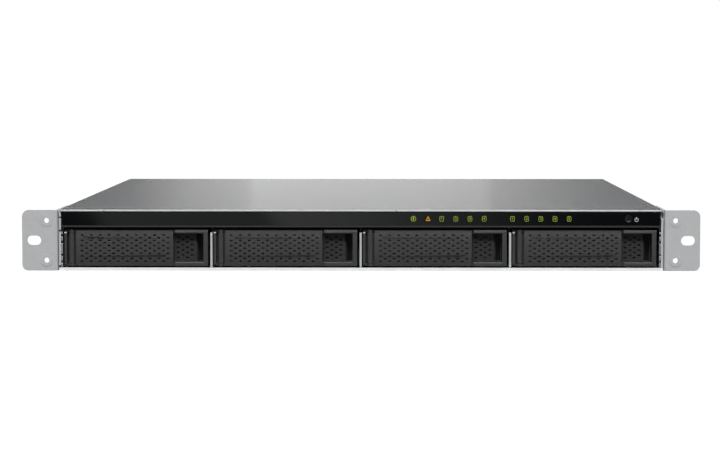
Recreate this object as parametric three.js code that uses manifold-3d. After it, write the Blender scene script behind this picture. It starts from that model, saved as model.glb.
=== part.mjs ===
// A 1U rack-mount network storage unit with four drive trays.
// Millimetres. X runs across the rack, Y from the front to the back, Z up.
import * as THREE from 'three';
import { mergeVertices } from 'three/addons/utils/BufferGeometryUtils.js';
import Module from 'manifold-3d';

const wasm = await Module();
wasm.setup();

// Clearances
const fit = 0.3; // between pieces that seat on each other
const slideGap = 0.35; // above the drives
const sledLift = 1.05; // of the sleds above the front lip
const sideGap = 0.45; // between a sled and a divider's hem

// Drives, of the standard 3.5 inch size
const bayCount = 4;
const driveLength = 147;
const driveHeight = 26.1;
const driveCorner = 3;
const driveLidInset = 1.6;
const driveLidHeight = 2.4;
const plugWidth = 42.6; // power and data plug of a drive
const plugHeight = 6;
const plugDepth = 4.5; // how far the socket reaches into the drive
const plugInset = 8; // from the side of the drive
const plugGap = 0.45;

// Drive sleds
const sledSheet = 1.2;
const sledRail = 0.9;
const sledRailHeight = 12;
const sledWindowMargin = 14;
const sledTail = 4; // of the sled behind the drive
const driveSetback = 2.5; // of the drive behind the tray's front moulding

// Tray front mouldings, placed from the left line of their bay
const trayFaceSetback = 0.5; // behind the front edge of the chassis
const trayInset = 1.5;
const trayRightGap = 2.4;
const trayFrontHeight = 25.9;
const trayLift = 1.1; // above the front lip
const trayFrontDepth = 14;
const trayBackWall = 1.2;
const postWidth = 1.95;
const postCrop = 1.1; // the post is shorter than the moulding by this at each end
const hingeInset = 5.25; // hinge axis from the moulding's left side
const barrelRadius = 1.9;
const barrelSetback = 0.1;
const lugHeight = 1.8;
const hingeRelief = 1.6; // room behind the barrel
const pinRadius = 0.8;
const pinGap = 0.15;
const pinEndCrop = 0.2;
const recessWidth = 23.5;
const recessTopBar = 2.6;
const recessBottomBar = 2.8;
const recessSideBar = 3.4;
const recessDepth = 7; // of the recess's wall behind the face
const recessWall = 1.4;
const fingerSlot = 4.4; // deep slot at the right end of the recess
const fingerSlotRound = 2.2; // rounding of the wall's edge beside the slot
const fingerReach = 17; // of the pocket behind the lever
const ventCount = 3;
const ventWidth = 12;
const ventGap = 3;
const ventStart = 8; // from the lever's left end
const ventMargin = 3.6;

// Levers
const leverThickness = 2.2;
const leverBarrelGap = 1;
const leverEndGap = 1.3;
const leverEdgeRadius = 0.8;
const webThickness = 1.2;
const catchWidth = 2;
const catchReach = 3;
const catchHeight = 5;
const catchInset = 5;

// Sheet metal of the chassis
const panSheet = 1.2;
const coverSheet = 1;
const chassisDepth = 481;
const frontLipHeight = 2.2;
const frontLipDepth = 1.6;
const railDepth = 26; // fixed strip ahead of the lift-off cover
const railHem = 1.3;
const coverLedge = 8;
const coverSeam = 0.4;
const coverFlangeDrop = 6.6;
const coverFlangeFront = 44;
const coverFlangeRear = 11;
const dividerSheet = 1;
const dividerHem = 1.5;
const dividerHemDepth = 6;
const dividerSetback = 1;
const dividerFrontDrop = 3.7; // front edge of a divider below the bay roof
const dividerStep = 14;
const dividerNose = 1.5;
const roofSheet = 1;
const roofFlange = 4.3;

// Finger strips beside the outer bays
const stripSpace = 1;
const stripSheet = 0.6;
const stripDepth = 30;
const fingerLength = 7.2;
const fingerRows = [1.9, 3.2, 7.5, 3.5, 3.1]; // finger heights from the top
const fingerGaps = [3.2, 1.4, 1.8, 1.4, 1.4]; // clear height above each finger

// Front bezel
const bezelHeight = 10.8;
const bezelDepth = 12;
const bezelWall = 1.4;
const bezelLip = 1.2;
const bezelLipProud = 1.2;
const windowBack = 2.1;
const windowProud = 1.6; // its middle, ahead of the chassis front
const windowBulge = 0.6; // of the middle ahead of the top and bottom edges
const windowSteps = 8;

// Status lights and power button
const lightPitch = 10.05;
const lightInset = 176.3; // first light from the right wall
const lightSlots = 12;
const lightBlank = 6; // the place in the row that has no light
const pipeWidth = 2.8;
const pipeHeight = 3.4;
const pipeBarThickness = 2;
const pipeBarHeight = 3;
const pipeBarFront = 6;
const pipeHoleGap = 0.3;
const ledWidth = 2;
const ledHeight = 1.4;
const boardSheet = 1.6;
const ledBoardEnd = 6; // of the board past the last light and the button
const ledBoardMargin = 1; // above and below the board
const buttonInset = 23.6; // button axis from the right wall
const buttonRadius = 2.65;
const buttonRecess = 0.3;
const buttonCollar = 0.7; // radius step and thickness
const buttonStem = 1.4; // behind the collar
const buttonTravel = 1;
const buttonGap = 0.25;
const switchSize = 5;

// Rack ears
const earSpan = 482.6; // over both ears, which sets the width of all that is between them
const earReach = 26.3; // from the chassis side to the ear's outer edge
const earHeight = 43.3;
const earSheet = 2;
const earBend = 2.6;
const earFlangeLength = 58;
const earCorner = 4.7;
const slotInset = 8.55; // slot middle from the ear's outer edge
const slotLength = 10;
const slotHeight = 6.7;
const earHoleRadius = 1.9;
const earHoleInset = 17.4;
const earHolePitch = 28.4;
const earBossRadius = 4.45;
const earBossProud = 0.35;

// Backplane and fans
const backplaneMargin = 2.5;
const backplaneVentHeight = 9;
const backplaneVentWidth = 60;
const fanWallGap = 8; // behind the backplane
const fanWallSheet = 1.2;
const fanWallFoot = 7;
const fanGap = 0.7; // above and below a fan
const fanDepth = 28;
const fanCount = 3;
const fanPitch = 100;
const fanRow = -50; // middle fan, from the middle of the chassis
const fanWall = 1.2;
const hubRadius = 9.5;
const hubLength = 18;
const bladeCount = 7;
const bladeChord = 13;
const bladeSheet = 1.3;
const bladePitch = 38; // degrees
const bladeTipGap = 0.9;
const strutWidth = 2.4;
const strutCount = 3;
const motorPlate = 2.4;
const shaftRadius = 1.5;
const shaftGap = 0.3;
const hubGap = 0.6;

// Mainboard and what stands on it
const boardRise = 6.5; // above the pan's floor
const boardFront = 12; // behind the fans
const boardRear = 9;
const boardLeft = 8;
const boardHoleInset = 8;
const boardHoleRadius = 1.7;
const standoffRadius = 3;
const boardPsuGap = 14;
const chipSize = 31;
const chipHeight = 2.4;
const sinkSize = 62;
const sinkBase = 4;
const sinkHeight = 25;
const finCount = 13;
const finSheet = 1.2;
const sinkFront = 70; // from the board's front edge
const sinkLeft = 130; // from the board's left edge
const memoryLength = 67.6;
const memoryWidth = 30;
const memorySheet = 1.2;
const memoryRise = 3.2;
const memoryChips = 4;
const memoryChipWidth = 11;
const memorySocket = 6;
const memoryLeft = 30;
const memoryFront = 80;

// Sockets in the rear wall
const rearProud = 0.8;
const lanWidth = 15.6;
const lanCount = 2;
const lanHeight = 13.5;
const lanBody = 24;
const lanX = -55;
const lanPlugWidth = 11.8;
const lanPlugHeight = 8.4;
const lanPlugDepth = 14;
const usbX = 5;
const usbWidth = 15;
const usbHeight = 15.6;
const usbBody = 20;
const usbSlotWidth = 12.6;
const usbSlotHeight = 5.4;
const usbSlotPitch = 7.6;
const usbSlotDepth = 12;
const socketPlateRim = 4.4; // of the socket plate past the sockets at each end
const slotCoverInset = 16.8; // from the left wall
const slotCoverWidth = 84;
const slotCoverHeight = 20;
const slotCoverMargin = 3;
const slotCoverSheet = 1;
const slotCoverTab = 10;
const slotCoverZ = 27;
const rearVentCount = 9;
const rearVentWidth = 3;
const rearVentHeight = 12;
const rearVentPitch = 7;
const rearVentX = 42;
const rearVentZ = 21;

// Power supply
const psuWidth = 81.5;
const psuLength = 150;
const psuSheet = 1;
const psuSide = 2.3; // from the side wall
const psuRim = 3;
const psuFanInset = 23; // fan axis from the right side
const psuFanRadius = 18;
const psuVentWidth = 4;
const psuVentHeight = 24;
const psuVentCount = 7;
const psuVentPitch = 9;
const inletInset = 20; // inlet axis from the left side
const inletWidth = 28;
const inletHeight = 20.5;
const inletDepth = 21;
const inletMouthWidth = 24.4;
const inletMouthHeight = 16.6;
const inletMouthDepth = 17.5;
const inletFlange = 2;
const inletFlangeSheet = 1.6;
const bladeLength = 12;
const inletBladeWidth = 2;
const inletBladeHeight = 4;
const inletBladeSpread = 7;
const inletBladeRise = 2;

// Heights that follow from the stack in a bay
const sledBottom = frontLipHeight + sledLift;
const sledTop = sledBottom + sledSheet;
const driveBottom = sledTop + fit;
const driveTop = driveBottom + driveHeight;
const bezelBottom = driveTop + slideGap;
const bezelTop = bezelBottom + bezelHeight;
const hemBottom = bezelTop + fit;
const chassisHeight = hemBottom + railHem;
const coverBottom = chassisHeight - coverSheet;
const wallTop = coverBottom - fit;
const floorTop = panSheet + fit;
const trayBottom = frontLipHeight + trayLift;
const trayTop = trayBottom + trayFrontHeight;

// Widths that follow from the rack, with four bays side by side
const wallOuter = earSpan / 2 - earReach;
const wallInner = wallOuter - panSheet;
const bayPitch = (2 * (wallInner - stripSpace)) / bayCount;
const sledWidth = bayPitch - dividerHem - 2 * sideGap;
const driveWidth = sledWidth - 2 * (fit + sledRail); // the standard 101.6
const bayMiddle = bayPitch / 2;
const trayRight = bayPitch - trayRightGap;
const buttonX = wallInner - buttonInset;
const lightStart = wallInner - lightInset;
const slotCoverX = slotCoverInset + slotCoverWidth / 2 - wallInner;

// Depths that follow from the trays to the back
const trayFace = trayFaceSetback;
const trayBack = trayFace + trayFrontDepth;
const driveFront = trayBack + driveSetback;
const driveRear = driveFront + driveLength;
const sledFront = trayBack + fit;
const sledRear = driveRear + sledTail;
const dividerRear = sledRear + sledTail * 2;
const backplaneFront = dividerRear + fit;
const backplaneRear = backplaneFront + boardSheet;
const fanWallFront = backplaneRear + fanWallGap;
const fanFront = fanWallFront + fanWallSheet + fit;
const fanRear = fanFront + fanDepth;
const wallInside = chassisDepth - panSheet; // inner face of the rear wall

// Places shared by pieces that meet
const hingeX = trayInset + hingeInset;
const hingeY = trayFace + barrelSetback + barrelRadius;
const leverLeft = hingeX + barrelRadius + leverBarrelGap;
const recessLeft = trayRight - recessWidth;
const leverRight = recessLeft - leverEndGap;
const leverBack = trayFace + leverThickness;
const bezelMiddle = (bezelBottom + bezelLip + bezelTop) / 2;
const windowFront = -windowProud;
const frontWall = windowBack + fit;
const frontWallBack = frontWall + bezelWall;
const ledBoardFront = pipeBarFront + pipeBarThickness + fit + ledHeight;
const fanSize = coverBottom - panSheet - 2 * fanGap;
const fanMiddle = panSheet + fanGap + fanSize / 2;
const boardBottom = panSheet + boardRise;
const boardTop = boardBottom + boardSheet;
const boardStart = fanRear + boardFront;
const boardEnd = wallInside - boardRear;
const socketPlateLeft = lanX - (lanWidth * lanCount) / 2 - socketPlateRim;
const socketPlateRight = usbX + usbWidth / 2 + socketPlateRim;
const psuRight = wallInner - psuSide;
const psuLeft = psuRight - psuWidth;
const psuRear = wallInside - fit;
const psuBottom = panSheet + fanGap;
const psuTop = coverBottom - fanGap;
const psuMiddle = (psuBottom + psuTop) / 2;
const betweenFlanges = wallInner - 2 * fit - coverSheet; // half of the clear width under the cover
const psuFanX = psuRight - psuFanInset;
const inletX = psuLeft + inletInset;
const boardRight = psuLeft - boardPsuGap;
const boardWest = boardLeft - wallInner;

// Basic solids, each given by its ranges along the axes

function block(x, y, z) {
  const geometry = new THREE.BoxGeometry(1, 1, 1);
  const position = geometry.attributes.position;
  for (let i = 0; i < position.count; i += 1) {
    const corner = [position.getX(i), position.getY(i), position.getZ(i)];
    position.setXYZ(i, ...[x, y, z].map((range, axis) => range[corner[axis] > 0 ? 1 : 0]));
  }
  return geometry;
}

// A shape drawn square to an axis and swept along it: (y, z) for x, (x, z) for y, (x, y) for z.
function prism(axis, shape, range, curveSegments = 6) {
  const geometry = new THREE.ExtrudeGeometry(shape, { depth: 1, bevelEnabled: false, curveSegments });
  const position = geometry.attributes.position;
  for (let i = 0; i < position.count; i += 1) {
    const [a, b] = [position.getX(i), position.getY(i)];
    const far = position.getZ(i) > 0.5;
    if (axis === 'x') position.setXYZ(i, range[far ? 1 : 0], a, b);
    else if (axis === 'y') position.setXYZ(i, a, range[far ? 0 : 1], b);
    else position.setXYZ(i, a, b, range[far ? 1 : 0]);
  }
  return geometry;
}

function rod(axis, radius, at, range, sides = 16) {
  const outline = new THREE.Shape();
  for (let i = 0; i < sides; i += 1) {
    const angle = ((i + 0.5) * 2 * Math.PI) / sides;
    const point = [at[0] + radius * Math.cos(angle), at[1] + radius * Math.sin(angle)];
    if (i === 0) outline.moveTo(...point);
    else outline.lineTo(...point);
  }
  return prism(axis, outline, range);
}

function polygon(points) {
  return new THREE.Shape(points.map(([x, y]) => new THREE.Vector2(x, y)));
}

function roundedRectangle(x, y, radius) {
  const shape = new THREE.Shape();
  shape.absarc(x[1] - radius, y[0] + radius, radius, -Math.PI / 2, 0, false);
  shape.absarc(x[1] - radius, y[1] - radius, radius, 0, Math.PI / 2, false);
  shape.absarc(x[0] + radius, y[1] - radius, radius, Math.PI / 2, Math.PI, false);
  shape.absarc(x[0] + radius, y[0] + radius, radius, Math.PI, 1.5 * Math.PI, false);
  return shape;
}

function around(middle, size) {
  return [middle - size / 2, middle + size / 2];
}

// The same solid on the other side of the middle plane
function mirrored(geometry) {
  const copy = geometry.clone();
  copy.scale(-1, 1, 1);
  const index = copy.index.array;
  for (let i = 0; i < index.length; i += 3) {
    [index[i], index[i + 1]] = [index[i + 1], index[i]];
  }
  return copy;
}

// Joining and cutting

function toSolid(geometry) {
  const plain = geometry.clone();
  plain.deleteAttribute('normal');
  plain.deleteAttribute('uv');
  const merged = mergeVertices(plain, 1e-5);
  const vertProperties = merged.attributes.position.array;
  const triVerts = new Uint32Array(merged.index.array);
  return new wasm.Manifold(new wasm.Mesh({ numProp: 3, vertProperties, triVerts }));
}

function carve(added, removed = [], kept = []) {
  let solid = toSolid(added[0]);
  for (const piece of added.slice(1)) solid = solid.add(toSolid(piece));
  for (const piece of removed) solid = solid.subtract(toSolid(piece));
  for (const piece of kept) solid = solid.intersect(toSolid(piece));
  const mesh = solid.getMesh();
  const geometry = new THREE.BufferGeometry();
  geometry.setAttribute('position', new THREE.BufferAttribute(mesh.vertProperties, 3));
  geometry.setIndex(new THREE.BufferAttribute(mesh.triVerts, 1));
  geometry.computeVertexNormals();
  return geometry;
}

// Chassis

function boardHoles() {
  const holes = [];
  for (const x of [boardWest + boardHoleInset, (boardWest + boardRight) / 2, boardRight - boardHoleInset]) {
    for (const y of [boardStart + boardHoleInset, boardEnd - boardHoleInset]) holes.push([x, y]);
  }
  return holes;
}

function rearVents() {
  const through = [wallInside - 1, chassisDepth + 1];
  const slots = [];
  for (let i = 0; i < rearVentCount; i += 1) {
    const x = rearVentX + i * rearVentPitch;
    slots.push(block(around(x, rearVentWidth), through, around(rearVentZ, rearVentHeight)));
  }
  return slots;
}

function chassisPan() {
  const through = [wallInside - 1, chassisDepth + 1];
  const within = [-wallInner, wallInner];
  const standoffRange = [panSheet / 2, boardBottom - fit];
  const boreRange = [2 * panSheet, boardBottom];
  const standoffs = boardHoles().map((at) => rod('z', standoffRadius, at, standoffRange, 12));
  const bores = boardHoles().map((at) => rod('z', boardHoleRadius, at, boreRange, 12));
  const shell = carve(
    [block([-wallOuter, wallOuter], [0, chassisDepth], [0, wallTop])],
    [
      block(within, [frontLipDepth, wallInside], [panSheet, wallTop + 1]),
      block(within, [-1, frontLipDepth + 1], [frontLipHeight, wallTop + 1]),
      block([socketPlateLeft, socketPlateRight], through, [panSheet, wallTop + 1]),
      block(
        around(slotCoverX, slotCoverWidth - 2 * slotCoverMargin),
        through,
        around(slotCoverZ, slotCoverHeight - 2 * slotCoverMargin),
      ),
      block([psuLeft + psuRim, psuRight - psuRim], through, [psuBottom + psuRim, psuTop - psuRim]),
      ...rearVents(),
    ],
  );
  return carve([shell, ...standoffs], bores);
}

// Plate around the sockets, which fills a notch in the rear wall
function socketPlate() {
  const through = [wallInside - 1, chassisDepth + 1];
  const lanSpan = lanWidth * lanCount + 2 * fit;
  const x = [socketPlateLeft + fit, socketPlateRight - fit];
  return carve(
    [block(x, [wallInside, chassisDepth], [floorTop, wallTop])],
    [
      block(around(lanX, lanSpan), through, [boardTop, boardTop + lanHeight + 2 * fit]),
      block(around(usbX, usbWidth + 2 * fit), through, [boardTop, boardTop + usbHeight + 2 * fit]),
    ],
  );
}

function frontTopRail() {
  const ledgeTop = coverBottom - fit;
  const section = polygon([
    [0, hemBottom],
    [railHem, hemBottom],
    [railHem, coverBottom],
    [railDepth - coverSheet, coverBottom],
    [railDepth - coverSheet, ledgeTop - coverSheet],
    [railDepth + coverLedge, ledgeTop - coverSheet],
    [railDepth + coverLedge, ledgeTop],
    [railDepth, ledgeTop],
    [railDepth, chassisHeight],
    [0, chassisHeight],
  ]);
  const overWall = block(
    [wallInner - fit, wallOuter + 1],
    [-1, railDepth + coverLedge + 1],
    [hemBottom - coverLedge, coverBottom],
  );
  return carve([prism('x', section, [-wallOuter, wallOuter])], [overWall, mirrored(overWall)]);
}

function topCover() {
  const front = railDepth + coverSeam;
  const flangeOuter = wallInner - fit;
  const flange = block(
    [flangeOuter - coverSheet, flangeOuter],
    [coverFlangeFront, chassisDepth - coverFlangeRear],
    [coverBottom - coverFlangeDrop, chassisHeight],
  );
  const plate = block([-wallOuter, wallOuter], [front, chassisDepth], [coverBottom, chassisHeight]);
  return carve([plate, flange, mirrored(flange)]);
}

function divider() {
  const top = bezelBottom - fit;
  const frontTop = top - dividerFrontDrop;
  const bottom = frontLipHeight + fit;
  const hem = polygon([
    [dividerSetback, bottom],
    [dividerSetback, frontTop - dividerNose],
    [dividerSetback + dividerNose, frontTop],
    [dividerSetback + dividerHemDepth, frontTop],
    [dividerSetback + dividerHemDepth, bottom],
  ]);
  const web = polygon([
    [frontLipDepth + fit, floorTop],
    [dividerRear, floorTop],
    [dividerRear, top],
    [dividerStep, top],
    [dividerStep, frontTop],
    [dividerSetback + dividerNose, frontTop],
    [dividerSetback + dividerNose, bottom],
    [frontLipDepth + fit, bottom],
  ]);
  return carve([
    prism('x', hem, around(0, dividerHem)),
    prism('x', web, around(0, dividerSheet)),
  ]);
}

function bayRoof() {
  const outer = wallInner - fit;
  const inner = outer - roofSheet;
  const top = bezelBottom + roofSheet;
  const flangeTop = bezelBottom + roofFlange;
  const section = polygon([
    [-outer, bezelBottom],
    [outer, bezelBottom],
    [outer, flangeTop],
    [inner, flangeTop],
    [inner, top],
    [-inner, top],
    [-inner, flangeTop],
    [-outer, flangeTop],
  ]);
  return carve([prism('y', section, [bezelDepth + 2 * fit, dividerRear])]);
}

// Strip of spring fingers between the side wall and the outer tray
function fingerStrip() {
  const x = [wallInner - fit - stripSheet, wallInner - fit];
  const top = bezelBottom - fit;
  const bottom = frontLipHeight + fit;
  const pieces = [block(x, [dividerSetback + fingerLength, stripDepth], [bottom, top])];
  let z = top;
  fingerRows.forEach((height, row) => {
    z -= fingerGaps[row];
    const low = Math.max(z - height, bottom);
    pieces.push(block(x, [dividerSetback, dividerSetback + fingerLength + fit], [low, z]));
    z -= height;
  });
  return carve(pieces);
}

// Rack ears

function rackEar() {
  const inner = wallOuter + fit;
  const outer = earSpan / 2;
  const plan = new THREE.Shape();
  plan.moveTo(outer, 0);
  plan.lineTo(outer, earSheet);
  plan.lineTo(inner + earBend, earSheet);
  plan.absarc(inner + earBend, earBend, earBend - earSheet, -Math.PI / 2, Math.PI, true);
  plan.lineTo(inner + earSheet, earFlangeLength);
  plan.lineTo(inner, earFlangeLength);
  plan.lineTo(inner, earBend);
  plan.absarc(inner + earBend, earBend, earBend, Math.PI, 1.5 * Math.PI, false);
  const outline = new THREE.Shape();
  outline.moveTo(inner - 1, 0);
  outline.lineTo(outer - earCorner, 0);
  outline.absarc(outer - earCorner, earCorner, earCorner, -Math.PI / 2, 0, false);
  outline.absarc(outer - earCorner, earHeight - earCorner, earCorner, 0, Math.PI / 2, false);
  outline.lineTo(inner - 1, earHeight);
  const middle = earHeight / 2;
  const through = [-earBossProud - 1, earSheet + 1];
  const holes = [-1, 1].map((side) => [outer - earHoleInset, middle + (side * earHolePitch) / 2]);
  const bosses = holes.map((at) => rod('y', earBossRadius, at, [-earBossProud, earSheet / 2]));
  const bores = holes.map((at) => rod('y', earHoleRadius, at, through));
  const slot = prism(
    'y',
    roundedRectangle(around(outer - slotInset, slotLength), around(middle, slotHeight), slotHeight / 2 - 0.01),
    through,
    4,
  );
  const depth = [-earBossProud - 1, earFlangeLength + 1];
  const angle = prism('z', plan, [0, earHeight], 5);
  return carve([angle, ...bosses], [...bores, slot], [prism('y', outline, depth, 5)]);
}

// Front bezel

function lightPlaces() {
  const places = [];
  for (let i = 0; i < lightSlots; i += 1) {
    if (i !== lightBlank) places.push(lightStart + i * lightPitch);
  }
  return places;
}

function bezelFrame() {
  const half = wallInner - fit;
  const within = [-half + bezelWall, half - bezelWall];
  const holes = lightPlaces().map((x) => block(
    around(x, pipeWidth + 2 * pipeHoleGap),
    [frontWall - 1, frontWallBack + 1],
    around(bezelMiddle, pipeHeight + 2 * pipeHoleGap),
  ));
  return carve(
    [block([-half, half], [-bezelLipProud, bezelDepth], [bezelBottom, bezelTop])],
    [
      block(within, [-bezelLipProud - 1, frontWall], [bezelBottom + bezelLip, bezelTop + 1]),
      block(within, [frontWallBack, bezelDepth + 1], [bezelBottom + bezelLip, bezelTop - bezelLip]),
      ...holes,
      rod('y', buttonRadius + buttonGap, [buttonX, bezelMiddle], [frontWall - 1, frontWallBack + 1]),
    ],
  );
}

function bezelWindow() {
  const half = wallInner - 2 * fit - bezelWall;
  const low = bezelBottom + bezelLip + fit;
  const chord = bezelTop - low;
  const radius = (chord * chord) / (8 * windowBulge) + windowBulge / 2;
  const sweep = Math.asin(chord / 2 / radius);
  const middle = (low + bezelTop) / 2;
  const section = [[windowBack, low]];
  for (let i = 0; i <= windowSteps; i += 1) {
    const angle = -sweep + (2 * sweep * i) / windowSteps;
    const y = windowFront + radius * (1 - Math.cos(angle));
    section.push([y, middle + radius * Math.sin(angle)]);
  }
  section.push([windowBack, bezelTop]);
  const through = [windowFront - 1, windowBack + 1];
  return carve(
    [prism('x', polygon(section), [-half, half])],
    [rod('y', buttonRadius + buttonGap, [buttonX, bezelMiddle], through)],
  );
}

function lightPipeBar() {
  const places = lightPlaces();
  const bar = block(
    [places[0] - pipeWidth, places[places.length - 1] + pipeWidth],
    [pipeBarFront, pipeBarFront + pipeBarThickness],
    around(bezelMiddle, pipeBarHeight),
  );
  const prongs = places.map((x) => block(
    around(x, pipeWidth),
    [frontWall, pipeBarFront + pipeBarThickness / 2],
    around(bezelMiddle, pipeHeight),
  ));
  return carve([bar, ...prongs]);
}

function buttonStemEnd() {
  return frontWallBack + fit + buttonCollar + buttonStem;
}

function ledBoard() {
  const places = lightPlaces();
  const board = block(
    [places[0] - ledBoardEnd, buttonX + ledBoardEnd],
    [ledBoardFront, ledBoardFront + boardSheet],
    [bezelBottom + bezelLip + ledBoardMargin, bezelTop - bezelLip - ledBoardMargin],
  );
  const leds = places.map((x) => block(
    around(x, ledWidth),
    [ledBoardFront - ledHeight, ledBoardFront + boardSheet / 2],
    around(bezelMiddle, ledWidth),
  ));
  const pushSwitch = block(
    around(buttonX, switchSize),
    [buttonStemEnd() + buttonTravel + fit, ledBoardFront + boardSheet / 2],
    around(bezelMiddle, switchSize),
  );
  return carve([board, ...leds, pushSwitch]);
}

function powerButton() {
  const face = windowFront + buttonRecess;
  const collar = [frontWallBack + fit, frontWallBack + fit + buttonCollar];
  const at = [buttonX, bezelMiddle];
  return carve([
    rod('y', buttonRadius, at, [face, collar[1]]),
    rod('y', buttonRadius + buttonCollar, at, collar),
    rod('y', buttonRadius - buttonCollar, at, [collar[0], buttonStemEnd()], 12),
  ]);
}

// Drive trays, drawn from the left line of their bay

function traySled() {
  const left = bayMiddle - sledWidth / 2;
  const right = bayMiddle + sledWidth / 2;
  const along = [sledFront, sledRear];
  const sides = [sledBottom, sledBottom + sledRailHeight];
  return carve(
    [
      block([left, right], along, [sledBottom, sledTop]),
      block([left, left + sledRail], along, sides),
      block([right - sledRail, right], along, sides),
    ],
    [
      block(
        [left + sledWindowMargin, right - sledWindowMargin],
        [driveFront + sledWindowMargin, driveRear - sledWindowMargin],
        [sledBottom - 1, sledTop + 1],
      ),
    ],
  );
}

function trayFrontMoulding() {
  const base = leverBack + fit;
  const height = [trayBottom, trayTop];
  const hinge = [hingeX, hingeY];
  const lugTops = [trayBottom + lugHeight, trayTop - lugHeight];
  const postHeight = [trayBottom + postCrop, trayTop - postCrop];
  const pocketLeft = leverRight - fingerReach;
  const pocketRight = trayRight - recessSideBar;
  const wallRight = pocketRight - fingerSlot;
  const wallFront = trayFace + recessDepth;
  const slotBack = trayBack - trayBackWall;
  const pocketHeight = [trayBottom + recessBottomBar, trayTop - recessTopBar];
  const pocket = new THREE.Shape();
  pocket.moveTo(pocketLeft, trayFace - 1);
  pocket.lineTo(pocketRight, trayFace - 1);
  pocket.lineTo(pocketRight, slotBack);
  pocket.lineTo(wallRight, slotBack);
  const turn = [wallRight - fingerSlotRound, wallFront + fingerSlotRound];
  pocket.absarc(...turn, fingerSlotRound, 0, -Math.PI / 2, true);
  pocket.lineTo(pocketLeft, wallFront);
  const vents = [];
  for (let i = 0; i < ventCount; i += 1) {
    const x = leverLeft + ventStart + i * (ventWidth + ventGap);
    const z = [trayBottom + ventMargin, trayTop - ventMargin];
    vents.push(block([x, x + ventWidth], [base - 1, trayBack + 1], z));
  }
  return carve(
    [
      block([trayInset, trayRight], [base, trayBack], height),
      block([recessLeft, trayRight], [trayFace, base + 1], height),
      block([trayInset, trayInset + postWidth], [trayFace, base + 1], postHeight),
      rod('z', barrelRadius, hinge, [trayBottom, lugTops[0]]),
      rod('z', barrelRadius, hinge, [lugTops[1], trayTop]),
    ],
    [
      block(
        [trayInset + postWidth, leverLeft + webThickness],
        [trayFace - 1, hingeY + barrelRadius + hingeRelief],
        lugTops,
      ),
      prism('z', pocket, pocketHeight, 4),
      block([pocketLeft, wallRight - recessWall], [wallFront + recessWall, trayBack + 1], pocketHeight),
      rod('z', pinRadius + pinGap, hinge, [trayBottom - 1, trayTop + 1], 16),
      ...vents,
    ],
  );
}

function trayLever() {
  const hinge = [hingeX, hingeY];
  const barrel = [trayBottom + lugHeight + fit, trayTop - lugHeight - fit];
  const plan = new THREE.Shape();
  plan.moveTo(leverLeft, leverBack);
  plan.lineTo(leverLeft, trayFace + leverEdgeRadius);
  const edgeY = trayFace + leverEdgeRadius;
  plan.absarc(leverLeft + leverEdgeRadius, edgeY, leverEdgeRadius, Math.PI, 1.5 * Math.PI);
  plan.absarc(leverRight - leverEdgeRadius, edgeY, leverEdgeRadius, -Math.PI / 2, 0);
  plan.lineTo(leverRight, leverBack);
  const catchX = leverRight - catchInset;
  return carve(
    [
      prism('z', plan, [trayBottom, trayTop], 4),
      rod('z', barrelRadius, hinge, barrel),
      block([hingeX, leverLeft + webThickness], around(leverBack, webThickness), barrel),
      block(
        [catchX - catchWidth, catchX],
        [leverBack - webThickness, leverBack + catchReach],
        around((trayBottom + trayTop) / 2, catchHeight),
      ),
    ],
    [rod('z', pinRadius + pinGap, hinge, [trayBottom, trayTop], 16)],
  );
}

function leverPin() {
  return rod('z', pinRadius, [hingeX, hingeY], [trayBottom + pinEndCrop, trayTop - pinEndCrop], 16);
}

function plugRange() {
  const left = bayMiddle - driveWidth / 2 + plugInset;
  return [left, left + plugWidth];
}

function hardDrive() {
  const x = around(bayMiddle, driveWidth);
  const lidX = [x[0] + driveLidInset, x[1] - driveLidInset];
  const lidY = [driveFront + driveLidInset, driveRear - driveLidInset];
  const plug = plugRange();
  const casing = roundedRectangle(x, [driveFront, driveRear], driveCorner);
  const lid = roundedRectangle(lidX, lidY, driveCorner);
  const lidBottom = driveTop - driveLidHeight;
  return carve(
    [prism('z', casing, [driveBottom, lidBottom], 3), prism('z', lid, [lidBottom - 1, driveTop], 3)],
    [
      block(
        [plug[0] - plugGap, plug[1] + plugGap],
        [driveRear - plugDepth - plugGap, driveRear + 1],
        [driveBottom - 1, sledTop + 2 * plugGap + plugHeight + plugGap],
      ),
    ],
  );
}

function driveSocket() {
  const bottom = sledTop + 2 * plugGap;
  return block(plugRange(), [driveRear - plugDepth, backplaneFront - fit], [bottom, bottom + plugHeight]);
}

// Backplane and fans

function backplane() {
  const half = wallInner - backplaneMargin;
  const top = coverBottom - backplaneMargin;
  const vents = [];
  for (let i = 0; i < bayCount; i += 1) {
    const x = (i - (bayCount - 1) / 2) * bayPitch;
    const z = [bezelBottom - backplaneVentHeight - backplaneMargin, bezelBottom - backplaneMargin];
    vents.push(block(around(x, backplaneVentWidth), [backplaneFront - 1, backplaneRear + 1], z));
  }
  return carve([block([-half, half], [backplaneFront, backplaneRear], [floorTop, top])], vents);
}

function fanPlaces() {
  return Array.from({ length: fanCount }, (_, i) => fanRow + (i - (fanCount - 1) / 2) * fanPitch);
}

function fanBore() {
  return fanSize / 2 - fanWall;
}

function fanWallPlate() {
  const half = betweenFlanges;
  const top = coverBottom - fit;
  const through = [fanWallFront - 1, fanFront];
  const bores = fanPlaces().map((x) => rod('y', fanBore(), [x, fanMiddle], through, 24));
  return carve(
    [
      block([-half, half], [fanWallFront, fanFront - fit], [floorTop, top]),
      block([-half, half], [fanWallFront - fanWallFoot, fanFront - fit], [floorTop, floorTop + fanWallSheet]),
    ],
    bores,
  );
}

// A fan's spider: struts and motor plate that carry the rotor on its shaft
function spider(y, reach) {
  const pieces = [rod('y', hubRadius, [0, 0], y, 20)];
  for (let i = 0; i < strutCount; i += 1) {
    const strut = block(around(0, strutWidth), y, [0, reach]);
    strut.rotateY((i * 2 * Math.PI) / strutCount);
    pieces.push(strut);
  }
  return pieces;
}

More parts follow.
